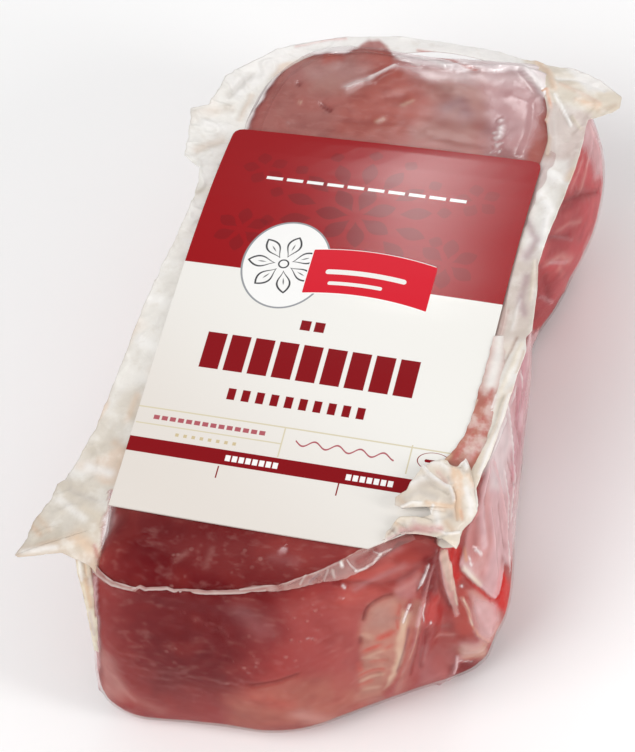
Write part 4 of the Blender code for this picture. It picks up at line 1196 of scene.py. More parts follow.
def layMargin():
    item, around, across = flatSheet("weldedMargin", margin["columns"], margin["rows"])
    line = marginLine(margin["columns"])
    column = np.rint(around * margin["columns"]).astype(int) % margin["columns"]
    row = line[column]
    outer, outerDrop, innerDrop, ragged, root = row[:, :2], row[:, 2], row[:, 3], row[:, 4], row[:, 5]
    spine = spinePlaces(outer)
    reach = np.linalg.norm(outer - spine, axis=1)
    outward = (outer - spine) / reach[:, None]
    along = np.column_stack((outer, np.zeros(len(outer))))
    coarse, fine = (grain(along, size, seed) for size, seed in margin["jags"])
    jag = 0.7 * coarse + 0.5 * np.abs(fine) - 0.2
    outerReach = reach + margin["ragged"] * ragged * jag
    share = across ** margin["spread"]
    plan = spine + outward * (root + (outerReach - root) * share)[:, None]
    height = topHeight(plan[:, 0], plan[:, 1]) - innerDrop - (outerDrop - innerDrop) * share**2
    free = ease((share - margin["freeStart"]) / margin["freeEase"])
    flat = np.column_stack((plan, np.zeros(len(plan))))
    limp = margin["stiff"] + (1 - margin["stiff"]) * np.clip(ragged * 1.2, 0, 1)
    height += margin["wave"] * free * limp * grain(flat, margin["waveSize"], 13)
    fold = grain(flat, margin["crumpleSize"], 14) / margin["crumpleHalf"]
    height += margin["crumple"] * free * limp * (np.exp(-(fold**2)) - margin["crumpleMiddle"])
    height += margin["crinkle"] * free * (0.3 + 0.7 * limp) * grain(flat, margin["crinkleSize"], 15)
    places = np.column_stack((plan, height))
    setPlaces(item, places + np.array(middle))
    tint = np.tile(np.array(margin["base"]), (len(places), 1))
    for colour, size, seed, start, soft, strength in margin["clouds"]:
        tint = mixed(tint, margin[colour], ease((grain(places, size, seed) + start) / soft) * strength)
    milky = margin["milkyAll"] + margin["milkyVaries"] * grain(places, margin["milkySize"], 21)
    paintSheet(item, marginPatches, marginMarks, tint, milky)
    closeSeams(item)
    return item


def faceUp(item):
    if readNormals(item)[:, 2].mean() < 0:
        makeActive(item)
        bpy.ops.object.mode_set(mode="EDIT")
        bpy.ops.mesh.select_all(action="SELECT")
        bpy.ops.mesh.flip_normals()
        bpy.ops.object.mode_set(mode="OBJECT")


weldedMargin = layMargin()
faceUp(weldedMargin)
giveThickness(weldedMargin, margin["thickness"])


def milkyMaterial():
    material, tree, shader = newMaterial("milkyWeldedFilm")
    tint, milky = paintOf(tree, "sheetTint"), maskOf(tree, "milky")
    clouds = cloudsOn(tree, margin["look"], milky, milky)
    colour = blendColour(tree, clouds["Pale"], tint, margin["pale"])
    dull = noiseAt(tree, objectPlace(tree), margin["dullScale"], 3)
    shade = times(tree, ramp(tree, dull, 0.52, 0.75, 0.0, margin["dullStrength"]), milky)
    feed(tree, shader, {
        "Base Color": blendColour(tree, shade, colour, margin["dull"]),
        "Alpha": clouds["Alpha"],
        "Normal": bumpFrom(tree, clouds["Crinkle"], margin["bump"], margin["bumpHeight"]),
        "Roughness": margin["roughness"],
        "IOR": margin["ior"],
    })
    return material


milkyFilm = milkyMaterial()
finishPiece(weldedMargin, milkyFilm, "film_over_meat")
print("margin finished")


# Folded corner of the margin, turned back over the label, and the thin edge that leads to it

sheet = dict(  # what flaps and strips share: sizes in metres, heights in mm, jag in pixels
    weld=0.0005 * mm, pixel=0.3 * mm,  # a pixel's size on the pack, for the noise
    shadeStart=0.05, shadeSoft=0.5, shadeStrength=0.7,
)
flap = dict(
    sheet, jagSize=0.0022, jagStart=0.7, jagEase=0.3, wrinkleSize=0.0060, crinkleSize=0.0022,
    bulgeStart=0.05, bulgeEase=0.125, shadeSize=0.006, milky=0.95, milkyVaries=0.04, milkySize=0.006,
)
corner = dict(
    flap, columns=70, steps=150, thickness=0.30 * mm,
    climb=0.16, lift=2.4, bulge=0.8, wrinkle=0.45, crinkle=0.16, jag=1.6,
    tint=tone(228, 216, 201), shade=tone(206, 193, 180),
)
edgeFold = dict(
    flap, columns=30, steps=110, thickness=0.15 * mm,
    climb=0.25, lift=0.25, bulge=0.35, wrinkle=0.15, crinkle=0.10, jag=1.4,
    tint=tone(186, 118, 102), shade=tone(172, 98, 86),
)

# Rows of a flap as the picture shows them: free edge across and down, fold across and down,
# then in mm the free edge's height, and in pixels how far the row sags down
cornerRows = (
    (447, 461, 464, 460, 2.4, 7), (444, 460, 467, 463, 2.6, 7), (440, 460, 470, 468, 2.8, 4),
    (434, 462, 473, 478, 3, 0), (423, 467, 475, 486, 3.4, 0), (415, 477, 476, 492, 3.8, 0),
    (406, 490, 477, 500, 4.3, 0), (396, 497, 478, 505, 4.6, 0), (395, 505, 477, 508, 4.4, -1),
    (402, 508, 477, 511, 4.2, -3), (420, 503, 475, 515, 3.6, -2), (429, 508, 473, 518, 3, 0),
    (431, 515, 470, 522, 2.8, 0), (419, 519, 465, 527, 2.6, 0), (401, 518, 462, 531, 2.4, 0),
    (392, 525, 460, 537, 2.2, 0), (386, 532, 459, 543, 2.1, -3), (384, 543, 456, 549, 1.6, -15),
)
edgeRows = (
    (494, 336, 504, 336, 1, 0), (490, 350, 507, 352, 1, 0), (487, 362, 506, 366, 1, 0),
    (482, 380, 505, 384, 1, 0), (478, 394, 502, 400, 1, 0), (475, 407, 498, 414, 1, 0),
    (470, 421, 493, 428, 1, 0), (464, 436, 487, 442, 1.1, 0), (456, 448, 480, 456, 1.1, 0),
    (445, 459, 473, 470, 1.2, 0), (440, 466, 470, 478, 1.2, 0),
)

# in the ear the grey marks are painted shade: on the left facet, beside the bright ridge, in crumple lines and
# between the lobes; the pink along the lower lobe's edge is painted shade too
cornerMarks = (
    ([(423, 467), (429, 474), (435, 479), (443, 484), (450, 488), (453, 495),
      (454, 501)], 1.5, "white", 0.95, 1),
    # grey: painted shade beside the ridge and on the left facet
    ([(425, 476), (436, 486), (448, 492)], 2.6, "grey", 0.3, -0.5),
    ([(405, 498), (418, 490), (434, 496)], 4.5, "grey", 0.5, -0.5),
    ([(412, 484), (424, 478)], 4, "white", 0.6, 0.3), ([(398, 498), (404, 503)], 3, "tan", 0.4, 0),
    ([(432, 464), (440, 464), (450, 472)], 3, "white", 0.6, 0.5),
    ([(438, 473), (446, 482)], 3.4, "pink", 0.45, -0.6), ([(430, 470), (440, 477)], 2, "cream", 0.5, 0.2),
    ([(448, 476), (452, 484)], 1.6, "grey", 0.6, -0.4),
    ([(453, 470), (456, 484), (458, 498), (459, 516)], 4, "peach", 0.7, 0.5),
    ([(460, 480), (463, 494)], 3, "peach", 0.5, 0.2), ([(461, 512), (462, 519)], 2, "orange", 0.4, -0.2),
    ([(454, 488), (456, 504), (457, 520)], 1.4, "tan", 0.5, -0.5),
    ([(427, 503), (440, 505), (452, 507)], 2.6, "peach", 0.6, 0.4),
    ([(430, 509), (444, 510)], 2.2, "tan", 0.3, -0.4),
    ([(460, 464), (464, 462), (466, 468)], 2.6, "white", 0.9, 0.9),
    ([(458, 472), (462, 478)], 2.4, "peach", 0.6, 0.3),
    ([(466, 490), (470, 504), (470, 514)], 3.4, "white", 0.7, 0.3),
    ([(474, 488), (477, 502)], 2, "blush", 0.7, 0), ([(468, 476), (472, 486)], 2.6, "peach", 0.5, 0.2),
    ([(446, 522), (452, 530)], 3.6, "tan", 0.5, -0.5), ([(436, 512), (438, 524)], 4, "white", 0.7, 0.4),
    ([(430, 514), (433, 506)], 1.4, "white", 0.8, 0.3),
    ([(402, 507), (412, 503), (421, 503)], 1.5, "white", 0.6, 0.5),
    ([(391, 524), (401, 519), (418, 519), (430, 521)], 1.6, "cream", 0.8, 0.7),
    # grey: painted shade in crumple lines
    ([(391, 527), (396, 533)], 2.4, "grey", 0.8, -0.6), ([(388, 534), (394, 528)], 1.4, "brown", 0.45, -0.2),
    ([(404, 524), (410, 530)], 2.4, "grey", 0.7, -0.6), ([(396, 524), (404, 530)], 1.6, "tan", 0.6, 0.4),
    ([(414, 522), (420, 530)], 2.6, "blush", 0.7, 0.4),
    # grey: painted shade between the lobes
    ([(430, 521), (440, 519), (450, 514)], 2.6, "grey", 0.4, -0.3),
    ([(440, 535), (452, 542)], 4, "cream", 0.8, 0.3), ([(438, 538), (446, 534)], 2, "grey", 0.6, -0.5),
    ([(386, 540), (394, 536)], 1.8, "white", 0.7, 0.3),
    # pink: painted shade along the lower lobe's edge, where the film also lets the meat's pink through
    ([(388, 539), (402, 532), (416, 530), (430, 532)], 2.2, "pink", 0.55, -0.2, -0.1),
    ([(432, 528), (446, 534), (458, 532)], 1.4, "white", 0.7, 0.6),
    # pink: painted shade along the lower lobe's edge
    ([(402, 531), (420, 528), (440, 529)], 3.8, "pink", 0.8, -0.2),
    ([(412, 536), (430, 538)], 2.2, "pink", 0.45, 0), ([(410, 512), (424, 510)], 2.4, "grey", 0.45, -0.3),
)
edgeMarks = (
    ([(500, 336), (497, 362), (491, 384)], 9, "pale", 0.9, 0.1),
    ([(492, 390), (487, 402)], 2.6, "red", 0.75, -0.1),
    ([(494, 404), (488, 416), (478, 422)], 2.6, "red", 0.8, -0.1),
    ([(476, 424), (468, 434)], 2, "red", 0.6, -0.1), ([(474, 436), (468, 444)], 2.4, "red", 0.8, -0.1),
    ([(464, 446), (456, 458)], 2.6, "red", 0.85, -0.1),
    ([(490, 424), (484, 436), (478, 446)], 2.6, "pink", 0.3, 0.1),
    ([(496, 396), (492, 408)], 1.2, "white", 0.8, 0.3),
    ([(477, 400), (469, 418), (461, 434), (453, 446)], 0.9, "cream", 0.6, 0.2),
    ([(487, 424), (481, 440), (473, 456)], 4, "red", 0.75, 0),
    ([(472, 452), (464, 464)], 3, "blush", 0.35, 0.2), ([(450, 456), (444, 462)], 2.4, "tan", 0.8, 0.1),
    ([(470, 460), (476, 452)], 2, "pink", 0.5, 0.2),
)


def shadedTint(shape, places, seed):
    plain = np.tile(np.array(shape["tint"]), (len(places), 1))
    share = ease((grain(places, shape["shadeSize"], seed) + shape["shadeStart"]) / shape["shadeSoft"])
    return mixed(plain, shape["shade"], share * shape["shadeStrength"])


def finishSheet(item, shape):
    closeSeams(item, shape["weld"])
    faceUp(item)
    giveThickness(item, shape["thickness"])
    finishPiece(item, milkyFilm, "film_over_meat")


def layFlap(name, shape, rowList, marks):
    item, across, along = flatSheet(name, shape["columns"], shape["steps"])
    rows = np.array(rowList, float)
    spots = np.linspace(0, 1, len(rows))
    freeX, freeY, foldX, foldY, high, sag = (np.interp(along, spots, rows[:, k]) for k in range(6))
    share = across  # 0 at the fold, 1 at the free edge
    picture = np.column_stack((foldX + (freeX - foldX) * share, foldY + (freeY - foldY) * share))
    picture[:, 1] += sag * 4 * share * (1 - share)
    spot = np.column_stack((picture * shape["pixel"], np.zeros(len(picture))))
    jag = shape["jag"] * grain(spot, shape["jagSize"], 31)
    picture[:, 0] += jag * ease((share - shape["jagStart"]) / shape["jagEase"])
    up = np.sin(np.clip(share / shape["climb"], 0, 1) * math.pi / 2)
    height = shape["lift"] * up + (high - shape["lift"]) * share
    begun = ease((along - shape["bulgeStart"]) / shape["bulgeEase"])
    height += shape["bulge"] * np.sin(share * math.pi) * begun
    wrinkles = shape["wrinkle"] * grain(spot, shape["wrinkleSize"], 32)
    height += (wrinkles + shape["crinkle"] * grain(spot, shape["crinkleSize"], 33)) * up
    places = spotsAtDrop(picture, -height * mm)
    setPlaces(item, places + np.array(middle))
    milky = shape["milky"] + shape["milkyVaries"] * grain(places, shape["milkySize"], 34)
    paintSheet(item, (), marks, shadedTint(shape, places, 35), milky)
    finishSheet(item, shape)


layFlap("foldedCorner", corner, cornerRows, cornerMarks)
layFlap("foldedEdge", edgeFold, edgeRows, edgeMarks)
print("folded corner finished")


# Crinkled seam across the front, and the fold that hangs at its left end

strip = dict(
    sheet, jagSize=0.0016, foldJag=0.6, wrinkleSize=0.0040, crinkleSize=0.0013, leastRise=0.1,
    smoothing=15, shadeSize=0.004, milkyVaries=0.08, milkySize=0.003,
)
seam = dict(
    strip, columns=12, steps=520, thickness=0.18 * mm,
    lift=0.45, stand=0.35, wrinkle=0.30, crinkle=0.16, jag=0.8,
    tint=tone(200, 150, 142), shade=tone(180, 118, 112), milky=0.50, hangs=False,
)
sideFold = dict(
    strip, columns=24, steps=90, thickness=0.20 * mm,
    lift=0.2, stand=0.5, wrinkle=0.30, crinkle=0.12, jag=0.8,
    tint=tone(232, 220, 198), shade=tone(214, 186, 156), milky=0.93, hangs=True,
)

# Rows across a strip as the picture shows them: free edge across and down, fold across and down
seamRows = (
    (84, 562, 90, 556), (90, 568, 95, 563), (97, 576, 101, 571), (104, 582, 108, 577), (112, 586, 114, 581.5),
    (122, 588, 122, 583.5), (131, 590.5, 131, 586.5), (135, 591.5, 136, 587.5), (139.5, 588, 140, 584.5),
    (146, 591, 146, 587.5), (158, 590, 158, 587), (167, 589.5, 167, 586.5), (174, 592.5, 174, 589),
    (185, 591.5, 185, 588.5), (196, 592.5, 196, 589.5), (206, 594, 206, 590.5), (219, 594.5, 219, 590.5),
    (239, 593.5, 239, 589.5), (253, 591, 252, 586), (265, 591, 264, 585.5), (278, 591.5, 277, 585.5),
    (289, 589.5, 286, 583), (301, 587, 298, 578), (312, 584.5, 309, 574.5), (323, 582, 320, 570),
    (334, 581, 331, 565.5), (344, 579, 341, 560), (356, 574, 352, 554), (366, 569, 361, 549.5),
    (374, 564, 370, 545.5), (382, 557, 380, 541.5), (391, 551, 388, 538.5), (402, 545, 398, 536),
    (416, 540, 412, 533),
)
sideRows = (
    (76, 553, 92, 557), (76, 562, 92, 566), (77, 570, 93, 574), (79, 579, 94, 584), (82, 590, 95, 594),
    (85, 602, 96, 605), (88, 616, 97, 618), (91, 632, 98, 634), (94, 650, 99, 652),
)
seamPatches = (
    ([(322, 540), (390, 530), (390, 590), (322, 592)], 14, "pink", 0.6, 0.36),
    ([(390, 525), (420, 525), (420, 560), (390, 560)], 12, "pink", 0.6, 0.14),
    ([(150, 580), (246, 580), (246, 600), (150, 600)], 10, "blush", 0.2, 0.58),
)
seamMarks = (
    ([(86, 562), (97, 574), (112, 585), (131, 589.5), (139.5, 587), (146, 590), (167, 588.5), (174, 591.5),
      (206, 593), (239, 592.5), (265, 590)], 0.9, "blush", 0.7, 0.3, 0.14),
    ([(92, 560), (108, 578), (122, 584), (136, 588)], 0.8, "blush", 0.7, 0.2, 0.1),
    # painted shade under the ribbon's edge
    ([(100, 575), (112, 583), (124, 586)], 0.9, "brown", 0.25, -0.1),
    ([(240, 590), (264, 586), (286, 583.5), (309, 575), (331, 566),
      (341, 561)], 0.9, "blush", 0.7, 0.3, 0.16),
    ([(341, 561), (357, 551), (372, 546), (386, 539)], 0.7, "cream", 0.5, 0.3, 0.16),
    ([(288, 586), (298, 580), (306, 578)], 1.2, "pink", 0.8, -0.2, -0.1),
    ([(300, 584), (306, 576)], 0.9, "blush", 0.8, 0.3, 0.15),
    ([(310, 582), (318, 574)], 1.2, "mauve", 0.5, -0.2, -0.1),
    ([(324, 580), (328, 570)], 0.9, "blush", 0.7, 0.3, 0.15),
    ([(333, 571), (334, 577)], 1.6, "blush", 0.7, 0.4, 0.2),
    # white marks: painted highlights on the bubble's lower edge
    ([(341, 563), (342, 566)], 1.8, "white", 0.95, 0.5, 0.5),
    ([(355, 571), (365, 568), (373, 564), (378, 558), (381, 554)], 0.9, "white", 0.9, 0.5, 0.45),
    ([(381, 554), (391, 549)], 0.7, "white", 0.7, 0.3, 0.25),
    ([(347, 560), (351, 566), (356, 570)], 0.7, "white", 0.6, 0.3, 0.25),
    ([(350, 558), (362, 552), (374, 549)], 0.7, "blush", 0.5, 0.2, 0.12),
    ([(358, 562), (368, 556), (376, 550)], 3, "red", 0.45, -0.3, -0.2),
    # painted highlight
    ([(374, 552), (381, 555)], 0.8, "white", 0.6, 0.2, 0.2),
)
sideMarks = (
    ([(79, 556), (80, 566), (82, 580)], 2, "white", 0.7, 0.3),
    ([(86, 580), (88, 592), (91, 606)], 2.4, "tan", 0.8, 0.3),
    ([(91, 560), (93, 576), (95, 596), (96, 616)], 1.2, "red", 0.65, -0.3, -0.1),
    ([(84, 558), (86, 574)], 1.6, "peach", 0.5, -0.2), ([(90, 612), (94, 634)], 1.6, "blush", 0.6, 0.1, -0.2),
)


def packDepths(spots):  # how deep the pack lies at places in the picture
    back = np.array(cameraAxes()[2])
    return np.array([(np.array(cameraPlace) - spotOnPack(*spot)) @ back for spot in spots])


def layStrip(name, shape, rowList, patches, marks):  # a strip on the pack, where the picture shows it
    item, share, along = flatSheet(name, shape["columns"], shape["steps"])
    rows = np.array(rowList, float)
    lengths = np.linalg.norm(np.diff(rows[:, 2:], axis=0), axis=1)
    passed = np.concatenate(([0.0], np.cumsum(lengths)))
    goals = np.linspace(0, passed[-1], shape["steps"] + 1)
    rows = np.stack([np.interp(goals, passed, rows[:, k]) for k in range(4)], 1)
    free, fold = packDepths(rows[:, :2]), packDepths(rows[:, 2:])
    if shape["hangs"]:  # its free edge stands off the pack
        every = np.arange(len(fold))
        fold = np.interp(every, every[::shape["smoothing"]], fold[::shape["smoothing"]])
        free = fold
    row = np.rint(along * shape["steps"]).astype(int)
    picture = rows[row, 2:] + (rows[row, :2] - rows[row, 2:]) * share[:, None]
    spot = np.column_stack((picture * shape["pixel"], np.zeros(len(picture))))
    jag = grain(spot, shape["jagSize"], 41) * share
    jag = jag + shape["foldJag"] * grain(spot, shape["jagSize"], 42) * (1 - share)
    picture += shape["jag"] * jag[:, None]
    rise = shape["lift"] + shape["stand"] * np.sin(share * math.pi)
    wrinkles = shape["wrinkle"] * grain(spot, shape["wrinkleSize"], 43)
    rise += wrinkles + shape["crinkle"] * grain(spot, shape["crinkleSize"], 44)
    depth = fold[row] + (free[row] - fold[row]) * share - np.maximum(rise, shape["leastRise"]) * mm
    places = np.array(cameraPlace) + sightLines(picture) * depth[:, None]
    setPlaces(item, places)
    milky = shape["milky"] + shape["milkyVaries"] * grain(places, shape["milkySize"], 46)
    paintSheet(item, patches, marks, shadedTint(shape, places, 45), milky)
    finishSheet(item, shape)


layStrip("frontSeam", seam, seamRows, seamPatches, seamMarks)
layStrip("sideFold", sideFold, sideRows, (), sideMarks)
print("seam finished")


# Label: fields of colour and simple shapes on coated paper

label = dict(
    red=tone(155, 8, 18), white=tone(239, 237, 232), warm=tone(222, 214, 206), shade=tone(118, 12, 20),
    bright=tone(214, 8, 38), dark=tone(136, 10, 20), band=tone(134, 8, 18), gold=tone(206, 188, 150),
    grey=tone(150, 152, 156), ink=tone(52, 52, 56), line=tone(214, 204, 176), pink=tone(176, 92, 100),
    paper=tone(246, 245, 243),
    # places on it in mm from its middle: middle x and y, then half width and half height
    redLine=14.8,  # where the red field ends
    softEdge=0.08, barEdge=0.14,  # how soft the print's edges are
    roundel=(-18.7, 18.5), roundelRim=(13.8, 17.0), roundelField=(13.2, 16.4),
    flower=(-19.4, 18.5), flowerPetals=7, flowerHeart=1.5, flowerLine=0.25,
    flowerRings=(("ink", 2.4, 11.6, 0.72), ("paper", 3.0, 10.9, 0.56), ("ink", 5.0, 8.6, 0.10)),
    banner=(8.2, 18.9, 19.4, 8.4), bannerEdge=(7.9, 18.8, 19.4, 8.7), bannerCorner=0.3,
    bannerMiddle=6.8, bannerArch=0.0055,
    seal=(41.4, -43.3), sealHalf=(5.0, 3.0), sealLine=0.16, sealBar=(2.8, 0.45, 0.4),
    squiggle=(14.5, -44.0, 15.0, 0.22), squiggleSize=0.9, squiggleHeight=1.0,
    roughness=0.16, bannerRoughness=0.45, shine=0.20,
    fibreScale=2500, bump=0.03, bumpHeight=0.1 * mm,
)

# Bars: colour, middle x, middle y, half width, half height, corner radius, all in mm
labelBars = (
    ("band", 0, -52.8, 51, 2.5, 0), ("line", -2, -39.6, 48, 0.16, 0), ("line", -27, -45.3, 22.5, 0.14, 0),
    ("line", -4.6, -44.9, 0.14, 5, 0), ("line", 34, -43.8, 0.14, 4.9, 0), ("dark", -21.2, -58, 0.14, 2, 0),
    ("dark", 15.3, -57.4, 0.14, 2.1, 0), ("white", 6.8, 18.6, 12.6, 0.85, 0.8),
    ("white", 4.2, 14.2, 8.4, 0.6, 0.5),
)

# Rows of equal blocks: colour, first x, last x, middle y, half height, how many, how full
labelRows = (
    ("paper", -34.3, 31.2, 53, 0.65, 10, 0.8), ("dark", -9.3, -0.6, -3.2, 1.8, 2, 0.72),
    ("dark", -36.6, 31, -16.6, 6.5, 9, 0.8), ("dark", -25.7, 18.6, -31, 2, 10, 0.55),
    ("pink", -45, -9.8, -42.7, 0.75, 14, 0.72), ("gold", -37.4, -17.2, -47.8, 0.55, 8, 0.42),
    ("paper", -20.2, -3.6, -52.9, 1, 8, 0.74), ("paper", 16.6, 31.4, -52.9, 1, 7, 0.74),
)

# Rings of petals: colour, strength, middle x, middle y, inner and outer reach, how many, fullness
labelPetals = (
    ("shade", 0.7, -2, 41, 2, 13, 7, 0.8), ("shade", 0.6, -2, 41, 13.5, 24, 14, 0.62),
    ("shade", 0.5, -2, 41, 25, 30, 14, 0.4), ("shade", 0.5, 30, 27, 1.5, 10, 6, 0.8),
    ("shade", 0.5, -36, 30, 1.5, 9, 6, 0.8), ("shade", 0.4, 34, 54, 1.5, 7.5, 5, 0.8),
    ("shade", 0.4, -35, 57, 1.5, 7.5, 5, 0.8),
)


def printGroup(name, numbers, outputs):
    group, given, out = newGroup(name, ("Place",), numbers, outputs)
    split = addNode(group, "ShaderNodeSeparateXYZ", {0: given["Place"]})
    return group, given, out, split


def barGroup():
    numbers = ("Middle X", "Middle Y", "Half Width", "Half Height", "Corner")
    group, given, out, split = printGroup("printedBar", numbers, ("Mask",))
    past = []
    for axis, centre, half in ((0, "Middle X", "Half Width"), (1, "Middle Y", "Half Height")):
        off = calc(group, "SUBTRACT", split.outputs[axis], given[centre])
        off = calc(group, "ABSOLUTE", off)
        inner = calc(group, "SUBTRACT", given[half], given["Corner"])
        off = calc(group, "SUBTRACT", off, inner)
        off = calc(group, "MAXIMUM", off, 0.0)
        past.append(calc(group, "POWER", off, 2.0))
    away = calc(group, "SQRT", calc(group, "ADD", past[0], past[1]))
    away = calc(group, "SUBTRACT", away, given["Corner"])
    feed(group, out, {"Mask": ramp(group, away, label["barEdge"], 0.0)})
    return group


def rowGroup():
    numbers = ("First X", "Last X", "Middle Y", "Half Height", "Count", "Full")
    group, given, out, split = printGroup("printedRow", numbers, ("Mask",))
    along = calc(group, "SUBTRACT", split.outputs[0], given["First X"])
    whole = calc(group, "SUBTRACT", given["Last X"], given["First X"])
    pitch = calc(group, "DIVIDE", whole, given["Count"])
    step = calc(group, "FRACT", calc(group, "DIVIDE", along, pitch))
    middleOff = calc(group, "ABSOLUTE", calc(group, "SUBTRACT", step, 0.5))
    edge = calc(group, "SUBTRACT", middleOff, times(group, given["Full"], 0.5))
    edge = times(group, edge, pitch)
    ends = calc(group, "ABSOLUTE", calc(group, "SUBTRACT", along, times(group, whole, 0.5)))
    ends = calc(group, "SUBTRACT", ends, times(group, whole, 0.5))
    tall = calc(group, "ABSOLUTE", calc(group, "SUBTRACT", split.outputs[1], given["Middle Y"]))
    tall = calc(group, "SUBTRACT", tall, given["Half Height"])
    away = calc(group, "MAXIMUM", calc(group, "MAXIMUM", edge, ends), tall)
    feed(group, out, {"Mask": ramp(group, away, label["softEdge"], -label["softEdge"])})
    return group


def ovalGroup():
    numbers = ("Middle X", "Middle Y", "Half Width", "Half Height", "Line")
    group, given, out, split = printGroup("printedOval", numbers, ("Disc", "Ring"))
    parts = []
    for axis, centre, half in ((0, "Middle X", "Half Width"), (1, "Middle Y", "Half Height")):
        off = calc(group, "SUBTRACT", split.outputs[axis], given[centre])
        off = calc(group, "DIVIDE", off, given[half])
        parts.append(times(group, off, off))
    reach = calc(group, "SQRT", calc(group, "ADD", parts[0], parts[1]))
    away = times(group, calc(group, "SUBTRACT", reach, 1.0), given["Half Width"])
    line = calc(group, "SUBTRACT", calc(group, "ABSOLUTE", away), given["Line"])
    feed(group, out, {
        "Disc": ramp(group, away, label["softEdge"], -label["softEdge"]),
        "Ring": ramp(group, line, label["softEdge"], -label["softEdge"]),
    })
    return group


def petalGroup():
    numbers = ("Middle X", "Middle Y", "Inner", "Outer", "Count", "Full")
    group, given, out, split = printGroup("printedPetals", numbers, ("Mask",))
    x = calc(group, "SUBTRACT", split.outputs[0], given["Middle X"])
    y = calc(group, "SUBTRACT", split.outputs[1], given["Middle Y"])
    reach = calc(group, "SQRT", calc(group, "ADD", times(group, x, x), times(group, y, y)))
    turn = calc(group, "DIVIDE", calc(group, "ARCTAN2", y, x), 2 * math.pi)
    step = calc(group, "FRACT", times(group, turn, given["Count"]))
    side = times(group, calc(group, "ABSOLUTE", calc(group, "SUBTRACT", step, 0.5)), 2.0)
    whole = calc(group, "SUBTRACT", given["Outer"], given["Inner"])
    share = calc(group, "DIVIDE", calc(group, "SUBTRACT", reach, given["Inner"]), whole)
    share = calc(group, "MINIMUM", calc(group, "MAXIMUM", share, 0.0), 1.0)
    wide = calc(group, "SINE", times(group, share, math.pi))
    wide = times(group, wide, given["Full"])
    feed(group, out, {"Mask": ramp(group, calc(group, "SUBTRACT", wide, side), 0.0, label["softEdge"])})
    return group


def labelMaterial():
    material, tree, shader = newMaterial("coatedLabelPaper")
    coordinates = objectPlace(tree)
    toMm, centre = (1 / mm, 1 / mm, 0), (-middle.x / mm, -middle.y / mm, 0)
    inputs = {"Vector": coordinates, "Location": centre, "Scale": toMm}
    place = addNode(tree, "ShaderNodeMapping", inputs).outputs[0]  # mm from the label's middle
    split = addNode(tree, "ShaderNodeSeparateXYZ", {0: place})
    x, y = split.outputs[0], split.outputs[1]
    bar, row, oval, petals = barGroup(), rowGroup(), ovalGroup(), petalGroup()

    def shifted(rise):  # the label's places with their height moved
        return addNode(tree, "ShaderNodeCombineXYZ", {0: x, 1: calc(tree, "ADD", y, rise)}).outputs[0]

    def printMask(shape, output, *numbers, at=place):
        item = addNode(tree, "ShaderNodeGroup", node_tree=shape)
        feed(tree, item, dict(enumerate((at, *numbers))))
        return item.outputs[output]

    nearCorner = calc(tree, "ADD", y, times(tree, x, 0.7))
    low = ramp(tree, nearCorner, -95, 0, 0.9, 0.0)
    colour = blendColour(tree, low, label["white"], label["warm"])
    soft = label["softEdge"]
    redField = ramp(tree, y, label["redLine"] - soft, label["redLine"] + soft)
    colour = blendColour(tree, redField, colour, label["red"])
    for ink, strength, *numbers in labelPetals:
        share = times(tree, printMask(petals, "Mask", *numbers), strength)
        colour = blendColour(tree, times(tree, share, redField), colour, label[ink])

    line = label["bannerCorner"]
    for ink, half in (("grey", "roundelRim"), ("paper", "roundelField")):
        mask = printMask(oval, "Disc", *label["roundel"], *label[half], line)
        colour = blendColour(tree, mask, colour, label[ink])
    for ink, inner, outer, full in label["flowerRings"]:
        numbers = (*label["flower"], inner, outer, label["flowerPetals"], full)
        mask = printMask(petals, "Mask", *numbers)
        colour = blendColour(tree, mask, colour, label[ink])
    heart = label["flowerHeart"]
    mask = printMask(oval, "Ring", *label["flower"], heart, heart, label["flowerLine"])
    colour = blendColour(tree, mask, colour, label["ink"])

    fromMiddle = calc(tree, "SUBTRACT", x, label["bannerMiddle"])
    bend = times(tree, fromMiddle, fromMiddle)
    arched = shifted(times(tree, bend, label["bannerArch"]))
    edge = printMask(bar, "Mask", *label["bannerEdge"], line, at=arched)
    banner = printMask(bar, "Mask", *label["banner"], line, at=arched)
    colour = blendColour(tree, edge, colour, label["paper"])
    colour = blendColour(tree, banner, colour, label["bright"])
    for ink, *numbers in labelBars:
        mask = printMask(bar, "Mask", *numbers, at=arched if ink == "white" else place)
        colour = blendColour(tree, mask, colour, label[ink])
    for ink, *numbers in labelRows:
        colour = blendColour(tree, printMask(row, "Mask", *numbers), colour, label[ink])
    for mask in (
        printMask(oval, "Ring", *label["seal"], *label["sealHalf"], label["sealLine"]),
        printMask(bar, "Mask", *label["seal"], *label["sealBar"]),
    ):
        colour = blendColour(tree, mask, colour, label["dark"])
    swing = calc(tree, "SINE", times(tree, x, label["squiggleSize"]))
    wavy = shifted(times(tree, swing, label["squiggleHeight"]))
    mask = printMask(bar, "Mask", *label["squiggle"], 0.0, at=wavy)
    colour = blendColour(tree, mask, colour, label["pink"])

    fibres = noiseAt(tree, coordinates, label["fibreScale"], 3)
    feed(tree, shader, {
        "Base Color": colour,
        "Normal": bumpFrom(tree, fibres, label["bump"], label["bumpHeight"]),
        "Roughness": ramp(tree, banner, 0.0, 1.0, label["roughness"], label["bannerRoughness"]),
        "Specular IOR Level": label["shine"],
    })
    return material


paper = frame["nodes"]["label"]
paperMaterial = labelMaterial()
if paper.material_slots:
    paper.material_slots[0].material = paperMaterial
else:
    paper.data.materials.append(paperMaterial)
print("label finished")


# Pale floor and soft studio light

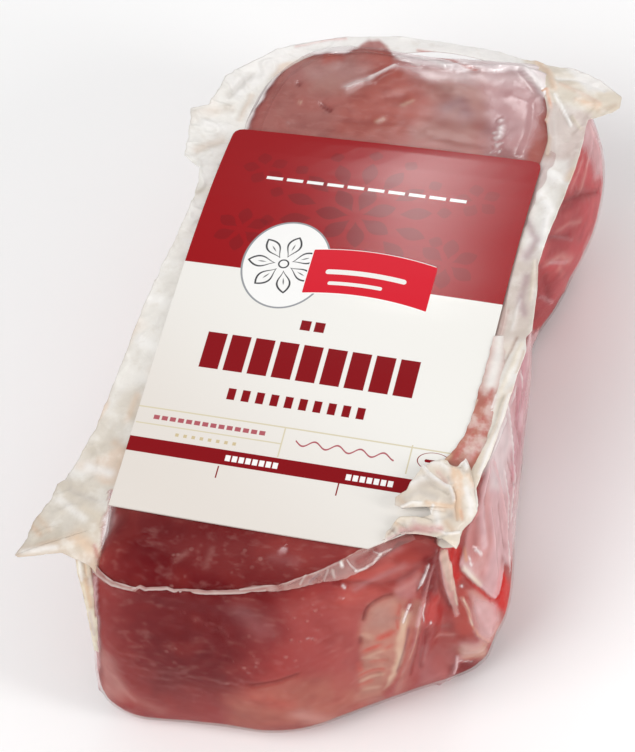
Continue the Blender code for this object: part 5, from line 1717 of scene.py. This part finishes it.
studio = dict(
    look="Standard",  # plain colours, as a catalogue picture has them
    floor=(0.98, 0.98, 0.98), floorSize=6.0, floorRoughness=0.7,
    sky=(1.0, 1.0, 1.0), skyStrength=0.45, aim=(0.0, 0.0, 0.08),
    lamps=(  # place from the pack's middle, width, length, power, and how it works
        ((-0.60, -0.80, 1.25), 1.10, 1.10, 14.5, "soft"),
        ((1.20, -0.30, 0.50), 0.30, 0.90, 7.8, "both"),
        ((0.20, 1.25, 0.50), 0.80, 0.40, 4.0, "both"),
    ),
    sheenAway=1.3,  # lamps whose light the label's far right shows as a soft sheen
    sheen=(  # picture: left, top, right, bottom, and how bright
        (392, 105, 446, 304, 18.5), (446, 105, 474, 304, 12.5), (474, 105, 500, 225, 7.0),
    ),
)


def mirrorPlace(across, down):  # where a sight line ends when the flat of the label throws it back
    ray = sightLine(across, down)
    spot = Vector(spotsAtDrop(np.array(((across, down),), float), 0.0)[0])
    step = 0.5 * mm
    slopeX = (topHeight(spot.x + step, spot.y) - topHeight(spot.x - step, spot.y)) / (2 * step)
    slopeY = (topHeight(spot.x, spot.y + step) - topHeight(spot.x, spot.y - step)) / (2 * step)
    upright = Vector((-slopeX, -slopeY, 1.0)).normalized()
    return middle + spot + (ray - 2 * ray.dot(upright) * upright) * studio["sheenAway"]


def addLamp(name, place, turned, wide, long, power, works):
    lamp = bpy.data.lights.new(name, "AREA")
    lamp.shape = "RECTANGLE"
    lamp.size, lamp.size_y = wide, long
    lamp.energy = power
    item = bpy.data.objects.new(name, lamp)
    item.matrix_world = Matrix.Translation(place) @ turned.to_4x4()
    item.visible_diffuse = works != "shine"
    item.visible_glossy = works != "soft"
    bpy.context.scene.collection.objects.link(item)


def addStudio():
    clearSelection()
    bpy.ops.mesh.primitive_plane_add(size=studio["floorSize"], location=(0, 0, 0))
    floor = bpy.context.object
    floor.name = "paleFloor"
    material, tree, shader = newMaterial("paleFloor")
    feed(tree, shader, {"Base Color": studio["floor"], "Roughness": studio["floorRoughness"]})
    floor.data.materials.append(material)
    world = bpy.data.worlds.new("softRoom")
    world.use_nodes = True
    tree = world.node_tree
    feed(tree, tree.nodes["Background"], {"Color": studio["sky"], "Strength": studio["skyStrength"]})
    bpy.context.scene.world = world
    bpy.context.scene.view_settings.view_transform = studio["look"]
    for number, (place, wide, long, power, works) in enumerate(studio["lamps"]):
        turned = (Vector(studio["aim"]) - Vector(place)).to_track_quat("-Z", "Y").to_matrix()
        addLamp("softbox%d" % number, middle + Vector(place), turned, wide, long, power, works)
    for number, (left, high, right, low, bright) in enumerate(studio["sheen"]):
        a, b, c, d = (mirrorPlace(*spot) for spot in ((left, high), (right, high), (right, low), (left, low)))
        across, along = (b + c - a - d) / 2, (a + b - c - d) / 2
        facingBack = across.cross(along).normalized()
        if facingBack.dot(middle - a) > 0:
            facingBack, across = -facingBack, -across
        upward = facingBack.cross(across.normalized())
        turned = Matrix((across.normalized(), upward, facingBack)).transposed()
        wide, long = across.length, along.length
        power = bright * math.pi * wide * long
        addLamp("sheenLamp%d" % number, (a + b + c + d) / 4, turned, wide, long, power, "shine")


addStudio()
print("studio set")
